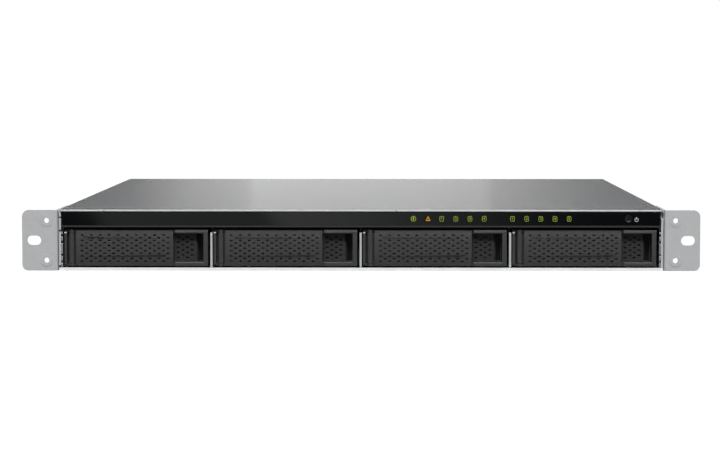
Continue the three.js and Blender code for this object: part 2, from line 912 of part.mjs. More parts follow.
function shaftBore(y) {
  return rod('y', shaftRadius + shaftGap, [0, 0], [y[0] - 1, y[1] + 1], 12);
}

// Drawn about the fan's own axis, its front face at y = 0
function fanFrame() {
  const half = fanSize / 2;
  const square = prism('y', roundedRectangle([-half, half], [-half, half], driveCorner), [0, fanDepth], 3);
  const ring = carve([square], [rod('y', fanBore(), [0, 0], [-1, fanDepth + 1], 24)]);
  const plate = [fanDepth - motorPlate, fanDepth];
  return carve([ring, ...spider(plate, fanBore() + fanWall / 2)], [shaftBore(plate)]);
}

function fanRotor(tipRadius) {
  const front = fanDepth - motorPlate - hubGap - hubLength;
  const hub = [front, front + hubLength];
  const blades = [];
  for (let i = 0; i < bladeCount; i += 1) {
    const blade = block(around(0, bladeSheet), around(0, bladeChord), [hubRadius / 2, tipRadius]);
    blade.rotateZ(THREE.MathUtils.degToRad(bladePitch));
    blade.translate(0, (hub[0] + hub[1]) / 2, 0);
    blade.rotateY((i * 2 * Math.PI) / bladeCount);
    blades.push(blade);
  }
  const shaftEnd = fanDepth - motorPlate / 4;
  return carve([
    rod('y', hubRadius, [0, 0], hub, 20),
    rod('y', shaftRadius, [0, 0], [hub[0] + 1, shaftEnd], 12),
    ...blades,
  ]);
}

// Electronics at the back

function sinkCorner() {
  return [boardWest + sinkLeft, boardStart + sinkFront];
}

function memoryCorner() {
  return [boardWest + memoryLeft, boardStart + memoryFront];
}

function mainboard() {
  const [sinkX, sinkY] = sinkCorner();
  const [memoryX, memoryY] = memoryCorner();
  const chip = [sinkX + sinkSize / 2, sinkY + sinkSize / 2];
  const sheet = [boardBottom, boardTop];
  const socketTop = boardTop + memoryRise + memorySheet + 1;
  const socketX = around(memoryX + memoryLength / 2, memoryLength + memorySocket);
  const slotZ = [boardTop + memoryRise - fit, boardTop + memoryRise + memorySheet + fit];
  return carve(
    [
      block([boardWest, boardRight], [boardStart, boardEnd], sheet),
      block(around(chip[0], chipSize), around(chip[1], chipSize), [boardBottom, boardTop + chipHeight]),
      block(socketX, [memoryY - memorySocket, memoryY], [boardBottom, socketTop]),
    ],
    [
      ...boardHoles().map((at) => rod('z', boardHoleRadius, at, [boardBottom - 1, boardTop + 1], 12)),
      block([memoryX - fit, memoryX + memoryLength + fit], [memoryY - memorySocket / 2, memoryY + 1], slotZ),
    ],
  );
}

function heatSink() {
  const [x, y] = sinkCorner();
  const bottom = boardTop + chipHeight + fit;
  const pieces = [block([x, x + sinkSize], [y, y + sinkSize], [bottom, bottom + sinkBase])];
  for (let i = 0; i < finCount; i += 1) {
    const finX = x + (i * (sinkSize - finSheet)) / (finCount - 1);
    const rise = [bottom + sinkBase / 2, bottom + sinkHeight];
    pieces.push(block([finX, finX + finSheet], [y, y + sinkSize], rise));
  }
  return carve(pieces);
}

function memoryModule() {
  const [x, y] = memoryCorner();
  const along = [y - memorySocket / 2 + fit, y - memorySocket / 2 + memoryWidth];
  const bottom = boardTop + memoryRise;
  const chips = [];
  for (let i = 0; i < memoryChips; i += 1) {
    const chipX = x + (memoryLength / memoryChips) * (i + 0.5);
    const chipY = along[1] - memoryWidth / 2 + memorySocket / 2;
    const rise = [bottom, bottom + 2 * memorySheet];
    chips.push(block(around(chipX, memoryChipWidth), around(chipY, memoryChipWidth), rise));
  }
  return carve([block([x, x + memoryLength], along, [bottom, bottom + memorySheet]), ...chips]);
}

function lanPorts() {
  const bottom = boardTop + fit;
  const width = lanWidth * lanCount;
  const rear = chassisDepth + rearProud;
  const sockets = [];
  for (let i = 0; i < lanCount; i += 1) {
    const x = lanX + (i - (lanCount - 1) / 2) * lanWidth;
    const z = around(bottom + lanHeight / 2, lanPlugHeight);
    sockets.push(block(around(x, lanPlugWidth), [rear - lanPlugDepth, rear + 1], z));
  }
  return carve([block(around(lanX, width), [rear - lanBody, rear], [bottom, bottom + lanHeight])], sockets);
}

function usbPorts() {
  const bottom = boardTop + fit;
  const rear = chassisDepth + rearProud;
  const middle = bottom + usbHeight / 2;
  const sockets = [-1, 1].map((side) => block(
    around(usbX, usbSlotWidth),
    [rear - usbSlotDepth, rear + 1],
    around(middle + (side * usbSlotPitch) / 2, usbSlotHeight),
  ));
  const body = block(around(usbX, usbWidth), [rear - usbBody, rear], [bottom, bottom + usbHeight]);
  return carve([body], sockets);
}

function slotCover() {
  const back = wallInside - fit;
  const x = around(slotCoverX, slotCoverWidth);
  const z = around(slotCoverZ, slotCoverHeight);
  const section = polygon([
    [back, z[0]],
    [back, z[1]],
    [back - slotCoverTab, z[1]],
    [back - slotCoverTab, z[1] - slotCoverSheet],
    [back - slotCoverSheet, z[1] - slotCoverSheet],
    [back - slotCoverSheet, z[0]],
  ]);
  return prism('x', section, x);
}

// Power supply

function psuVents() {
  const middle = (psuLeft + psuRight) / 2;
  const front = psuRear - psuLength;
  const slots = [];
  for (let i = 0; i < psuVentCount; i += 1) {
    const x = middle + (i - (psuVentCount - 1) / 2) * psuVentPitch;
    const through = [front - 1, front + psuSheet + 1];
    slots.push(block(around(x, psuVentWidth), through, around(psuMiddle, psuVentHeight)));
  }
  return slots;
}

function psuCase() {
  const rearPlate = [psuRear - motorPlate, psuRear];
  const box = block([psuLeft, psuRight], [psuRear - psuLength, psuRear], [psuBottom, psuTop]);
  const inside = block(
    [psuLeft + psuSheet, psuRight - psuSheet],
    [psuRear - psuLength + psuSheet, psuRear - motorPlate],
    [psuBottom + psuSheet, psuTop - psuSheet],
  );
  const fanHole = rod('y', psuFanRadius, [psuFanX, psuMiddle], [psuRear - motorPlate - 1, psuRear + 1], 24);
  const inletHole = block(
    around(inletX, inletWidth + 2 * fit),
    [psuRear - motorPlate - 1, psuRear + 1],
    around(psuMiddle, inletHeight + 2 * fit),
  );
  const shell = carve([box], [inside, fanHole, inletHole, ...psuVents()]);
  const struts = spider(rearPlate, psuFanRadius + 0.5).map((piece) => piece.translate(psuFanX, 0, psuMiddle));
  return carve([shell, ...struts], [shaftBore(rearPlate).translate(psuFanX, 0, psuMiddle)]);
}

function powerInlet() {
  const front = psuRear - inletDepth;
  const rear = psuRear + fit + inletFlangeSheet;
  const mouth = block(
    around(inletX, inletMouthWidth),
    [rear - inletMouthDepth, rear + 1],
    around(psuMiddle, inletMouthHeight),
  );
  const blades = [[-1, -1], [1, -1], [0, 1]].map(([across, up]) => block(
    around(inletX + across * inletBladeSpread, inletBladeWidth),
    [rear - inletMouthDepth - 1, rear - inletMouthDepth + bladeLength],
    around(psuMiddle + up * inletBladeRise, inletBladeHeight),
  ));
  const body = block(around(inletX, inletWidth), [front, rear], around(psuMiddle, inletHeight));
  const flange = block(
    around(inletX, inletWidth + 2 * inletFlange),
    [psuRear + fit, rear],
    around(psuMiddle, inletHeight + 2 * inletFlange),
  );
  const shell = carve([body, flange], [mouth]);
  return carve([shell, ...blades]);
}

// Finishes

function finish(color, roughness, metalness) {
  return new THREE.MeshStandardMaterial({ color, roughness, metalness, flatShading: true });
}

const greySteel = finish(0x8f9092, 0.45, 0.8);
const zincSteel = finish(0xc4c5c7, 0.35, 0.9);
const earSteel = finish(0xadaeaf, 0.5, 0.6);
const glossBlack = finish(0x0b0b0c, 0.08, 0);
const mattBlack = finish(0x1b1b1c, 0.5, 0);
const trayPlastic = finish(0x3c3c3d, 0.55, 0);
const leverPlastic = finish(0x454546, 0.5, 0);
const clearPlastic = finish(0xd8e0d0, 0.2, 0);
const board = finish(0x1d5a34, 0.5, 0);
const driveMetal = finish(0xb0b2b4, 0.4, 0.9);
const finMetal = finish(0xb8babc, 0.4, 0.9);
const brightPin = finish(0xc8c8c8, 0.3, 1);

// The unit, its origin under the middle of its box

const unit = new THREE.Group();
const bench = new THREE.Group();
const rearmost = psuRear + fit + inletFlangeSheet;
const backEdge = Math.max(chassisDepth + rearProud, rearmost);
bench.position.y = -(windowFront + backEdge) / 2;
unit.add(bench);

function place(name, geometry, material, parent = bench, position = [0, 0, 0]) {
  const mesh = new THREE.Mesh(geometry, material);
  mesh.name = name;
  mesh.position.set(...position);
  parent.add(mesh);
}

place('chassis_pan', chassisPan(), greySteel);
place('socket_plate', socketPlate(), greySteel);
place('front_top_rail', frontTopRail(), greySteel);
place('top_cover', topCover(), greySteel);
place('bay_roof', bayRoof(), zincSteel);

const ear = rackEar();
place('ear_right', ear, earSteel);
place('ear_left', mirrored(ear), earSteel);

const strip = fingerStrip();
place('finger_strip_right', strip, zincSteel);
place('finger_strip_left', mirrored(strip), zincSteel);

place('bezel_frame', bezelFrame(), mattBlack);
place('bezel_window', bezelWindow(), glossBlack);
place('light_pipe_bar', lightPipeBar(), clearPlastic);
place('led_board', ledBoard(), board);
place('power_button', powerButton(), mattBlack);

for (let i = 1; i < bayCount; i += 1) {
  place(`divider_${i}`, divider(), zincSteel, bench, [(i - bayCount / 2) * bayPitch, 0, 0]);
}

for (let i = 0; i < bayCount; i += 1) {
  const bay = new THREE.Group();
  bay.position.x = (i - bayCount / 2) * bayPitch;
  bench.add(bay);
  place(`tray_sled_${i + 1}`, traySled(), trayPlastic, bay);
  place(`tray_front_${i + 1}`, trayFrontMoulding(), trayPlastic, bay);
  place(`tray_lever_${i + 1}`, trayLever(), leverPlastic, bay);
  place(`lever_pin_${i + 1}`, leverPin(), brightPin, bay);
  place(`hard_drive_${i + 1}`, hardDrive(), driveMetal, bay);
  place(`drive_socket_${i + 1}`, driveSocket(), mattBlack, bay);
}

place('backplane', backplane(), board);
place('fan_wall', fanWallPlate(), zincSteel);
fanPlaces().forEach((x, i) => {
  const at = [x, fanFront, fanMiddle];
  place(`fan_frame_${i + 1}`, fanFrame(), mattBlack, bench, at);
  place(`fan_rotor_${i + 1}`, fanRotor(fanBore() - bladeTipGap), mattBlack, bench, at);
});

place('mainboard', mainboard(), board);
place('heat_sink', heatSink(), finMetal);
place('memory_module', memoryModule(), board);
place('lan_ports', lanPorts(), brightPin);
place('usb_ports', usbPorts(), brightPin);
place('slot_cover', slotCover(), zincSteel);
place('psu_case', psuCase(), zincSteel);
const psuFanPlace = [psuFanX, psuRear - fanDepth, psuMiddle];
place('psu_fan_rotor', fanRotor(psuFanRadius - bladeTipGap), mattBlack, bench, psuFanPlace);
place('power_inlet', powerInlet(), mattBlack);

export default unit;
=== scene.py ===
"""Looks of a 1U rack-mount storage enclosure with four lever-fronted drive trays.

Sizes are in millimetres on the bench of the solids: X across the rack, Y from the front edge of the
chassis to the back, Z up. spot() turns them into the metres of the shared frame.
"""

import logging
import math
from contextlib import contextmanager
from dataclasses import dataclass
from enum import Enum
from typing import Any, Callable, Iterator, Sequence

import bmesh
import bpy
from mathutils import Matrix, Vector


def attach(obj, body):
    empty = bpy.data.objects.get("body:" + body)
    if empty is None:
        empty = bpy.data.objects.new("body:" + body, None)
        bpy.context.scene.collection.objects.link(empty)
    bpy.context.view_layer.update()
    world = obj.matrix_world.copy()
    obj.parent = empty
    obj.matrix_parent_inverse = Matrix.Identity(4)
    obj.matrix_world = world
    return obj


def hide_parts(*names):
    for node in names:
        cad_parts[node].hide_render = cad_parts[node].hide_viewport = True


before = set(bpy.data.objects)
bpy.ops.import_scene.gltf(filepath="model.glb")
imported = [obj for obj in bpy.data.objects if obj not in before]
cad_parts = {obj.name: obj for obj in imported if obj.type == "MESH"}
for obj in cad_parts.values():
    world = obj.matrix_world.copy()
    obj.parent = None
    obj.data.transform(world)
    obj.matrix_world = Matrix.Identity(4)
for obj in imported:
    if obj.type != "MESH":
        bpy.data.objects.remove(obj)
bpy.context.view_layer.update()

log = logging.getLogger("enclosure")

Span = tuple[float, float]
Box = tuple[Span, Span, Span]  # X, Y and Z
Piece = bpy.types.Object
Tree = bpy.types.NodeTree
Socket = bpy.types.NodeSocket
MM = 0.001
FRONT_EDGE = 0.2401  # the chassis front edge is this far ahead of the frame's middle, in metres
REAR = 481.0  # outer face of the rear wall
BAY_COUNT = 4
BAY_PITCH = 106.4
BAY_LEFT = -212.8  # left line of the first bay
BAY_MIDDLE = BAY_PITCH / 2  # from that line
SHARP = math.radians(32)  # edges sharper than this are rounded and shade apart
UPRIGHT = (math.pi / 2, 0, 0)  # turns a flat shape to face the front


def spot(x: float, y: float, z: float) -> Vector:
    """A bench point in millimetres as a point of the shared frame in metres."""
    return Vector((x * MM, y * MM - FRONT_EDGE, z * MM))


def bay(x: float) -> float:
    """X on the bench of a place in the first bay, given from that bay's left line."""
    return BAY_LEFT + x


def about(middle: float, half: float) -> Span:
    """The span that reaches half a width to both sides of its middle."""
    return middle - half, middle + half


def beside(side: int, inner: float, outer: float) -> Span:
    """The span between two distances from the middle plane, on the left (-1) or the right (1)."""
    return (inner, outer) if side > 0 else (-outer, -inner)


# Modelling by operator


def take(*objects: Piece) -> None:
    """Selects only these objects and makes the first one active.

    Args:
        objects: The objects, the active one first.
    """
    bpy.ops.object.select_all(action="DESELECT")
    for obj in objects:
        obj.select_set(True)
    bpy.context.view_layer.objects.active = objects[0]


def settle(name: str) -> Piece:
    """Names the new active object and moves its place, turn and size into its mesh.

    Args:
        name: The piece's name.

    Returns:
        The object, at the origin, unturned and unscaled.
    """
    obj = bpy.context.active_object
    obj.name = obj.data.name = name
    bpy.ops.object.transform_apply(location=True, rotation=True, scale=True)
    return obj


def primitive(
    name: str, make: Callable[..., Any], scale: Sequence[float] = (1, 1, 1), **settings: Any
) -> Piece:
    """Adds a primitive, to be shaped further.

    Args:
        name: The piece's name.
        make: Blender's operator for it.
        scale: Its size along each axis.
        settings: The operator's settings.

    Returns:
        The shape, at the origin, unturned and unscaled.
    """
    bpy.ops.object.select_all(action="DESELECT")
    make(**settings)
    bpy.context.active_object.scale = scale
    return settle(name)


def block(name: str, x: Span, y: Span, z: Span) -> Piece:
    """A box between two bench corners, to be shaped further."""
    low, high = (spot(*corner) for corner in zip(x, y, z))
    return primitive(name, bpy.ops.mesh.primitive_cube_add, high - low, size=1, location=(low + high) / 2)


def moved_box(name: str, box: Box, x: float = 0.0, z: float = 0.0) -> Piece:
    """A box moved along X and Z, to be shaped further."""
    return block(name, (x + box[0][0], x + box[0][1]), box[1], (z + box[2][0], z + box[2][1]))


def in_bay(name: str, box: Box) -> Piece:
    """A box in the first bay, its X given from that bay's left line, to be shaped further."""
    return moved_box(name, box, BAY_LEFT)


def rod(name: str, axis: str, radius: float, at: Span, along: Span, sides: int = 32) -> Piece:
    """A round bar along an axis, to be shaped further.

    Args:
        name: The piece's name.
        axis: "x", "y" or "z".
        radius: Radius in millimetres.
        at: The bar's place on the other two axes, in their order.
        along: Its two ends on its own axis.
        sides: Number of facets.

    Returns:
        The bar.
    """
    middle = sum(along) / 2
    place = {"x": (middle, *at), "y": (at[0], middle, at[1]), "z": (*at, middle)}[axis]
    turn = {"x": (0, math.pi / 2, 0), "y": UPRIGHT, "z": (0, 0, 0)}[axis]
    return primitive(
        name, bpy.ops.mesh.primitive_cylinder_add, vertices=sides, radius=radius * MM,
        depth=(along[1] - along[0]) * MM, location=spot(*place), rotation=turn,
    )


@contextmanager
def editing(obj: Piece) -> Iterator[None]:
    """Edit mode on one object, with everything in it selected.

    Args:
        obj: The object.

    Returns:
        A context in which the object is in edit mode.
    """
    take(obj)
    bpy.ops.object.mode_set(mode="EDIT")
    bpy.ops.mesh.select_mode(type="VERT")
    bpy.ops.mesh.select_all(action="SELECT")
    yield
    bpy.ops.object.mode_set(mode="OBJECT")


def choose(obj: Piece, kind: str, test: Callable[[Any], bool]) -> None:
    """Selects the vertices, edges or faces of the edited object that pass a test, and nothing else.

    Args:
        obj: The object in edit mode.
        kind: "VERT", "EDGE" or "FACE".
        test: Says of a bmesh element whether it is wanted.
    """
    bpy.ops.mesh.select_mode(type=kind)
    bpy.ops.mesh.select_all(action="DESELECT")
    mesh = bmesh.from_edit_mesh(obj.data)
    for element in {"VERT": mesh.verts, "EDGE": mesh.edges, "FACE": mesh.faces}[kind]:
        if test(element):
            element.select_set(True)
    mesh.select_flush_mode()
    bmesh.update_edit_mesh(obj.data)


def slice_at(place: Vector, normal: Sequence[float], **settings: bool) -> None:
    """Bisects the whole mesh that is being edited."""
    bpy.ops.mesh.select_all(action="SELECT")
    bpy.ops.mesh.bisect(plane_co=place, plane_no=normal, **settings)


def cornered(obj: Piece, axis: int, radius: float, segments: int) -> Piece:
    """Rounds a block's edges along one axis.

    Args:
        obj: The block.
        axis: 0 for X, 1 for Y or 2 for Z.
        radius: Radius in millimetres.
        segments: Facets of each corner.

    Returns:
        The same block.
    """
    with editing(obj):
        choose(obj, "EDGE", lambda e: abs((e.verts[0].co - e.verts[1].co)[axis]) > 1e-5)
        bpy.ops.mesh.bevel(offset=radius * MM, segments=segments)
    return obj


def apply(obj: Piece, kind: str, **settings: Any) -> None:
    """Adds a modifier and applies it.

    Args:
        obj: The object.
        kind: The modifier's type, such as "BEVEL".
        settings: Its settings by property name.
    """
    take(obj)
    modifier = obj.modifiers.new(kind.title(), kind)
    for name, value in settings.items():
        setattr(modifier, name, value)
    bpy.ops.object.modifier_apply(modifier=modifier.name)


def rounded(obj: Piece, width: float, segments: int = 2) -> Piece:
    """Rounds the sharp edges and smooths the rest.

    Args:
        obj: The piece.
        width: Rounding in millimetres.
        segments: Facets of each rounded edge.

    Returns:
        The same piece.
    """
    limits = {"limit_method": "ANGLE", "angle_limit": SHARP, "miter_outer": "MITER_ARC"}
    apply(obj, "BEVEL", width=width * MM, segments=segments, **limits)
    return smoothed(obj)


def smoothed(obj: Piece) -> Piece:
    """Shades the faces smooth across all but the sharp edges, and keeps the large flat ones flat.

    Args:
        obj: The piece.

    Returns:
        The same piece.
    """
    take(obj)
    bpy.ops.mesh.customdata_custom_splitnormals_clear()
    bpy.ops.object.shade_smooth_by_angle(angle=SHARP)
    apply(obj, "WEIGHTED_NORMAL", keep_sharp=True, weight=100)
    return obj


def cut(obj: Piece, *tools: Piece) -> Piece:
    """Cuts tools out of a piece and removes them."""
    return combined(obj, "DIFFERENCE", *tools)


def united(obj: Piece, *parts: Piece) -> Piece:
    """Makes one closed body of a piece and the parts that touch it."""
    return combined(obj, "UNION", *parts)


def combined(obj: Piece, operation: str, *tools: Piece) -> Piece:
    """Applies one boolean for each tool and removes the tools.

    Args:
        obj: The piece.
        operation: "DIFFERENCE" or "UNION".
        tools: The shapes that it is cut by or united with.

    Returns:
        The same piece.
    """
    for tool in tools:
        apply(obj, "BOOLEAN", operation=operation, solver="EXACT", object=tool)
        bpy.data.objects.remove(tool)
    return obj


def joined(name: str, *parts: Piece) -> Piece:
    """Puts parts together as one object without changing their faces.

    Args:
        name: The object's name.
        parts: The parts, of which the first takes in the others.

    Returns:
        The object.
    """
    take(*parts)
    if len(parts) > 1:
        bpy.ops.object.join()
    parts[0].name = parts[0].data.name = name
    return parts[0]


def repeated(obj: Piece, counts: Sequence[int], step: Sequence[float]) -> Piece:
    """Repeats a shape along X, Y and Z.

    Args:
        obj: The shape, modelled once.
        counts: How many there are along each axis.
        step: Millimetres between them along each axis.

    Returns:
        The same object with all the copies in its mesh.
    """
    for axis, count in enumerate(counts):
        if count > 1:
            offset = [0.0, 0.0, 0.0]
            offset[axis] = step[axis] * MM
            constant = {"use_constant_offset": True, "constant_offset_displace": offset}
            apply(obj, "ARRAY", count=count, use_relative_offset=False, **constant)
    return obj


def copied(obj: Piece, name: str, move: Sequence[float] = (0, 0, 0)) -> Piece:
    """Copies a piece with its own mesh.

    Args:
        obj: The piece.
        name: The copy's name.
        move: How far the copy is moved, in millimetres.

    Returns:
        The copy.
    """
    take(obj)
    bpy.ops.object.duplicate()
    copy = bpy.context.active_object
    copy.location = Vector(move) * MM
    return settle(name)


def mirrored(obj: Piece, name: str) -> Piece:
    """Copies a piece to the other side of the middle plane.

    Args:
        obj: The piece.
        name: The copy's name.

    Returns:
        The copy, with its faces outwards.
    """
    take(obj)
    bpy.ops.object.duplicate()
    bpy.context.active_object.scale = (-1, 1, 1)
    copy = settle(name)
    with editing(copy):
        bpy.ops.mesh.normals_make_consistent(inside=False)
    return smoothed(copy)


def drawn_from(node: str, name: str) -> Piece:
    """A clean copy of a CAD node's mesh, with its triangles merged into whole convex faces.

    Args:
        node: The CAD node.
        name: The new piece's name.

    Returns:
        The copy, ready to be shaped.
    """
    obj = bpy.data.objects.new(name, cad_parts[node].data.copy())
    obj.data.name = name
    obj.data.materials.clear()
    bpy.context.scene.collection.objects.link(obj)
    with editing(obj):
        bpy.ops.mesh.remove_doubles(threshold=1e-6)
        bpy.ops.mesh.dissolve_limited(angle_limit=math.radians(0.5))
        bpy.ops.mesh.vert_connect_concave()
    return obj


# Finishes


def linear(color: str) -> tuple[float, float, float, float]:
    """Turns an sRGB colour into a linear one.

    Args:
        color: The sRGB colour, such as "#A0A1A2".

    Returns:
        Its linear red, green and blue, with full alpha.
    """
    values = [int(color[i:i + 2], 16) / 255 for i in (1, 3, 5)]
    red, green, blue = (v / 12.92 if v <= 0.04045 else ((v + 0.055) / 1.055) ** 2.4 for v in values)
    return red, green, blue, 1.0


def add(tree: Tree, kind: str, settings: dict | None = None) -> Any:
    """Adds a shader node.

    Args:
        tree: The node tree.
        kind: The node's type without its ShaderNode prefix.
        settings: By input name, input number or property name, in the order they are set, a socket to
            link or a value.

    Returns:
        The node.
    """
    node = tree.nodes.new("ShaderNode" + kind)
    for name, value in (settings or {}).items():
        if isinstance(value, Socket):
            tree.links.new(value, node.inputs[name])
        elif isinstance(name, int) or name in node.inputs:
            node.inputs[name].default_value = value
        else:
            setattr(node, name, value)
    return node


def cleared(owner: Any) -> Tree:
    """Gives a material or a world an empty node tree.

    Args:
        owner: The material or the world.

    Returns:
        The node tree.
    """
    owner.use_nodes = True
    owner.node_tree.nodes.clear()
    return owner.node_tree


def computed(tree: Tree, operation: str, *values: Any) -> Socket:
    """The result of a Math node on sockets and numbers."""
    return add(tree, "Math", {"operation": operation, **dict(enumerate(values))}).outputs[0]


def ranged(tree: Tree, value: Socket, source: Span, target: Span = (0.0, 1.0)) -> Socket:
    """Maps a value from one span to another, and holds it at both ends."""
    ends = {"From Min": source[0], "From Max": source[1], "To Min": target[0], "To Max": target[1]}
    return add(tree, "MapRange", {"Value": value, **ends}).outputs["Result"]


def mixed(tree: Tree, share: Any, first: Any, second: Any, blend: str = "MIX") -> Socket:
    """Blends two colours, each a socket or a constant, by the share of the second."""
    kind = {"data_type": "RGBA", "blend_type": blend}
    return add(tree, "Mix", {**kind, 0: share, 6: first, 7: second}).outputs[2]


class Pattern(Enum):
    """Shapes that an irregular surface can have."""

    CLOUD = "cloud"  # soft blotches and orange peel
    CELL = "cell"  # crystals, grit and cast pebbles


@dataclass(frozen=True)
class Grain:
    """One scale of irregularity in a finish.

    Attributes:
        size: Width of a blotch or cell in millimetres.
        tone: How far it lightens and darkens the colour, as a share.
        rough: How far it raises and lowers the roughness.
        relief: Its height in millimetres.
        stretch: How many times finer it is along each axis, for drawn and brushed metal.
        pattern: Its shape.
    """

    size: float
    tone: float = 0.0
    rough: float = 0.0
    relief: float = 0.0
    stretch: tuple[float, float, float] = (1, 1, 1)
    pattern: Pattern = Pattern.CLOUD

    def output(self, tree: Tree, place: Socket) -> Socket:
        """Adds the pattern's nodes and returns a value from about -1 to 1.

        Args:
            tree: The material's node tree.
            place: The Object coordinates socket.

        Returns:
            The value's socket.
        """
        turned = add(tree, "Mapping", {"Scale": self.stretch, "Vector": place}).outputs["Vector"]
        texture = {"Scale": 1 / (self.size * MM), "Vector": turned}
        if self.pattern is Pattern.CELL:
            cells = add(tree, "TexVoronoi", texture).outputs["Color"]
            return ranged(tree, add(tree, "SeparateColor", {0: cells}).outputs[0], (0.0, 1.0), (-1.0, 1.0))
        clouds = add(tree, "TexNoise", {**texture, "Detail": 2.0, "Roughness": 0.6}).outputs[0]
        return ranged(tree, clouds, (0.28, 0.72), (-1.0, 1.0))


@dataclass(frozen=True)
class Finish:
    """A material: what the surface is made of and how it was worked.

    Attributes:
        name: Common name of the material and its surface.
        color: sRGB hex colour.
        roughness: Mean roughness.
        metallic: 1 for bare metal, less for a metal under a thin oxide or zinc layer that scatters.
        ior: Index of refraction of a non-metal.
        coat: Strength of a clear layer on top.
        polish: Roughness of that layer.
        clear: Share of light that passes through.
        glow: Strength of its own light, in its own colour.
        grains: The irregularities, from coarse to fine.
    """

    name: str
    color: str
    roughness: float
    metallic: float = 0.0
    ior: float = 1.5
    coat: float = 0.0
    polish: float = 0.12
    clear: float = 0.0
    glow: float = 0.0
    grains: tuple[Grain, ...] = ()

    def material(self) -> bpy.types.Material:
        """Builds the material once and returns it from then on.

        Returns:
            The material.
        """
        if self.name in bpy.data.materials:
            return bpy.data.materials[self.name]
        material = bpy.data.materials.new(self.name)
        tree = cleared(material)
        color = linear(self.color)
        shader = add(tree, "BsdfPrincipled", {
            "Base Color": color, "Roughness": self.roughness, "Metallic": self.metallic,
            "Coat Weight": self.coat, "Coat Roughness": self.polish, "Transmission Weight": self.clear,
            "Emission Color": color, "Emission Strength": self.glow,
        })
        if self.metallic < 1:
            shader.inputs["IOR"].default_value = self.ior
        add(tree, "OutputMaterial", {"Surface": shader.outputs[0]})
        place = add(tree, "TexCoord").outputs["Object"]
        tone = rough = normal = None
        for grain in self.grains:
            value = grain.output(tree, place)
            if grain.tone:
                part = computed(tree, "MULTIPLY_ADD", value, grain.tone, 1.0)
                tone = part if tone is None else computed(tree, "MULTIPLY", tone, part)
            if grain.rough:
                start = self.roughness if rough is None else rough
                rough = computed(tree, "MULTIPLY_ADD", value, grain.rough, start)
            if grain.relief:
                under = {} if normal is None else {"Normal": normal}
                relief = {"Strength": 1.0, "Distance": grain.relief * MM, "Height": value, **under}
                normal = add(tree, "Bump", relief).outputs[0]
        if tone is not None:
            shade = add(tree, "CombineColor", {0: tone, 1: tone, 2: tone}).outputs[0]
            tree.links.new(mixed(tree, 1.0, color, shade, "MULTIPLY"), shader.inputs["Base Color"])
        if rough is not None:
            tree.links.new(rough, shader.inputs["Roughness"])
        if normal is not None:
            tree.links.new(normal, shader.inputs["Normal"])
            if self.coat:
                tree.links.new(normal, shader.inputs["Coat Normal"])
        return material


# Steel sheet, silver paint under a clear layer: a mirror at a flat angle, orange peel a millimetre wide
SILVER_PAINT = Finish("silver_painted_steel", "#9B9C9E", 0.45, coat=1.0, polish=0.10, grains=(
    Grain(90, tone=0.02), Grain(0.9, tone=0.06, relief=0.0012)))
# Galvanised steel sheet, passivated: pale, slightly mottled by its zinc crystals
ZINC_SHEET = Finish("galvanised_steel", "#D6D7D8", 0.42, metallic=0.1, grains=(
    Grain(7, tone=0.03, rough=0.05, pattern=Pattern.CELL), Grain(0.5, tone=0.02, relief=0.004)))
# The hem of the front rail: bare zinc, lighter than the rail, a painted highlight on its rounded fold
HEM_HIGHLIGHT_ZINC = Finish("hem_highlight_galvanised_steel", "#E6E7E8", 0.45, metallic=0.6, grains=(
    Grain(7, tone=0.03, rough=0.05, pattern=Pattern.CELL),))
# The same sheet painted darker, as painted shade: the dividers, recessed under the bezel, and the walls'
# front edges
SHADED_ZINC = Finish("shaded_galvanised_steel", "#A6A7A8", 0.45, metallic=0.1, grains=(
    Grain(7, tone=0.04, rough=0.05, pattern=Pattern.CELL), Grain(0.5, tone=0.02, relief=0.004)))
# Rack ears, stamped and coated in a light grey with a fine fleck
FLECKED_COAT = Finish("flecked_coated_steel", "#9E9FA0", 0.50, grains=(
    Grain(0.9, tone=0.06, relief=0.008), Grain(9, tone=0.02)))
# Spring strip of bright tinned steel
SPRING_STEEL = Finish("tinned_spring_steel", "#9A9B9C", 0.30, metallic=0.5, grains=(
    Grain(1.2, tone=0.05, rough=0.08, stretch=(1, 0.1, 1)),))
# Smoked acrylic window, polished: nearly black, sharp reflections, faint waviness
SMOKED_ACRYLIC = Finish("smoked_acrylic", "#060708", 0.05, ior=1.49, grains=(
    Grain(30, rough=0.01),))
# Bezel frame, black ABS from a polished mould
GLOSS_ABS = Finish("gloss_black_abs", "#2B2B2C", 0.30, ior=1.50, grains=(
    Grain(20, rough=0.02),))
# Power button, black ABS with a fine satin face
BUTTON_ABS = Finish("satin_black_abs", "#070708", 0.32, grains=(
    Grain(0.7, tone=0.10, rough=0.05, relief=0.004),))
# Tray front, charcoal ABS, spark-eroded a little coarser
TRAY_ABS = Finish("charcoal_abs", "#2F2F30", 0.46, ior=1.52, grains=(
    Grain(40, tone=0.03), Grain(0.8, tone=0.09, rough=0.06, relief=0.015)))
# Lever, charcoal ABS
LEVER_ABS = Finish("charcoal_lever_abs", "#2C2C2D", 0.56, ior=1.52, grains=(
    Grain(40, tone=0.03), Grain(0.8, tone=0.09, rough=0.06, relief=0.015)))
# Painted shade in the finger recess: a sheet of charcoal ABS darker than the tray's, coarsely spark-eroded
SHADE_SHEET_ABS = Finish("painted_shade_abs", "#1F1F20", 0.62, ior=1.52, grains=(
    Grain(0.8, tone=0.09, rough=0.06, relief=0.015),))
# Sled, stamped steel under black electro-coat
ECOAT_STEEL = Finish("electro_coated_steel", "#26272A", 0.38, grains=(
    Grain(12, tone=0.05), Grain(0.6, tone=0.05, relief=0.006)))
# Drive casting, aluminium under black electro-coat
COATED_CASTING = Finish("electro_coated_casting", "#0E0E10", 0.50, grains=(
    Grain(0.9, tone=0.06, rough=0.08, relief=0.020, pattern=Pattern.CELL), Grain(30, tone=0.04)))
# Drive lid, pressed stainless steel, brushed along its length
BRUSHED_STEEL = Finish("brushed_stainless_steel", "#B9BBBD", 0.30, metallic=0.85, grains=(
    Grain(0.8, tone=0.05, rough=0.10, stretch=(1, 0.03, 1)),))
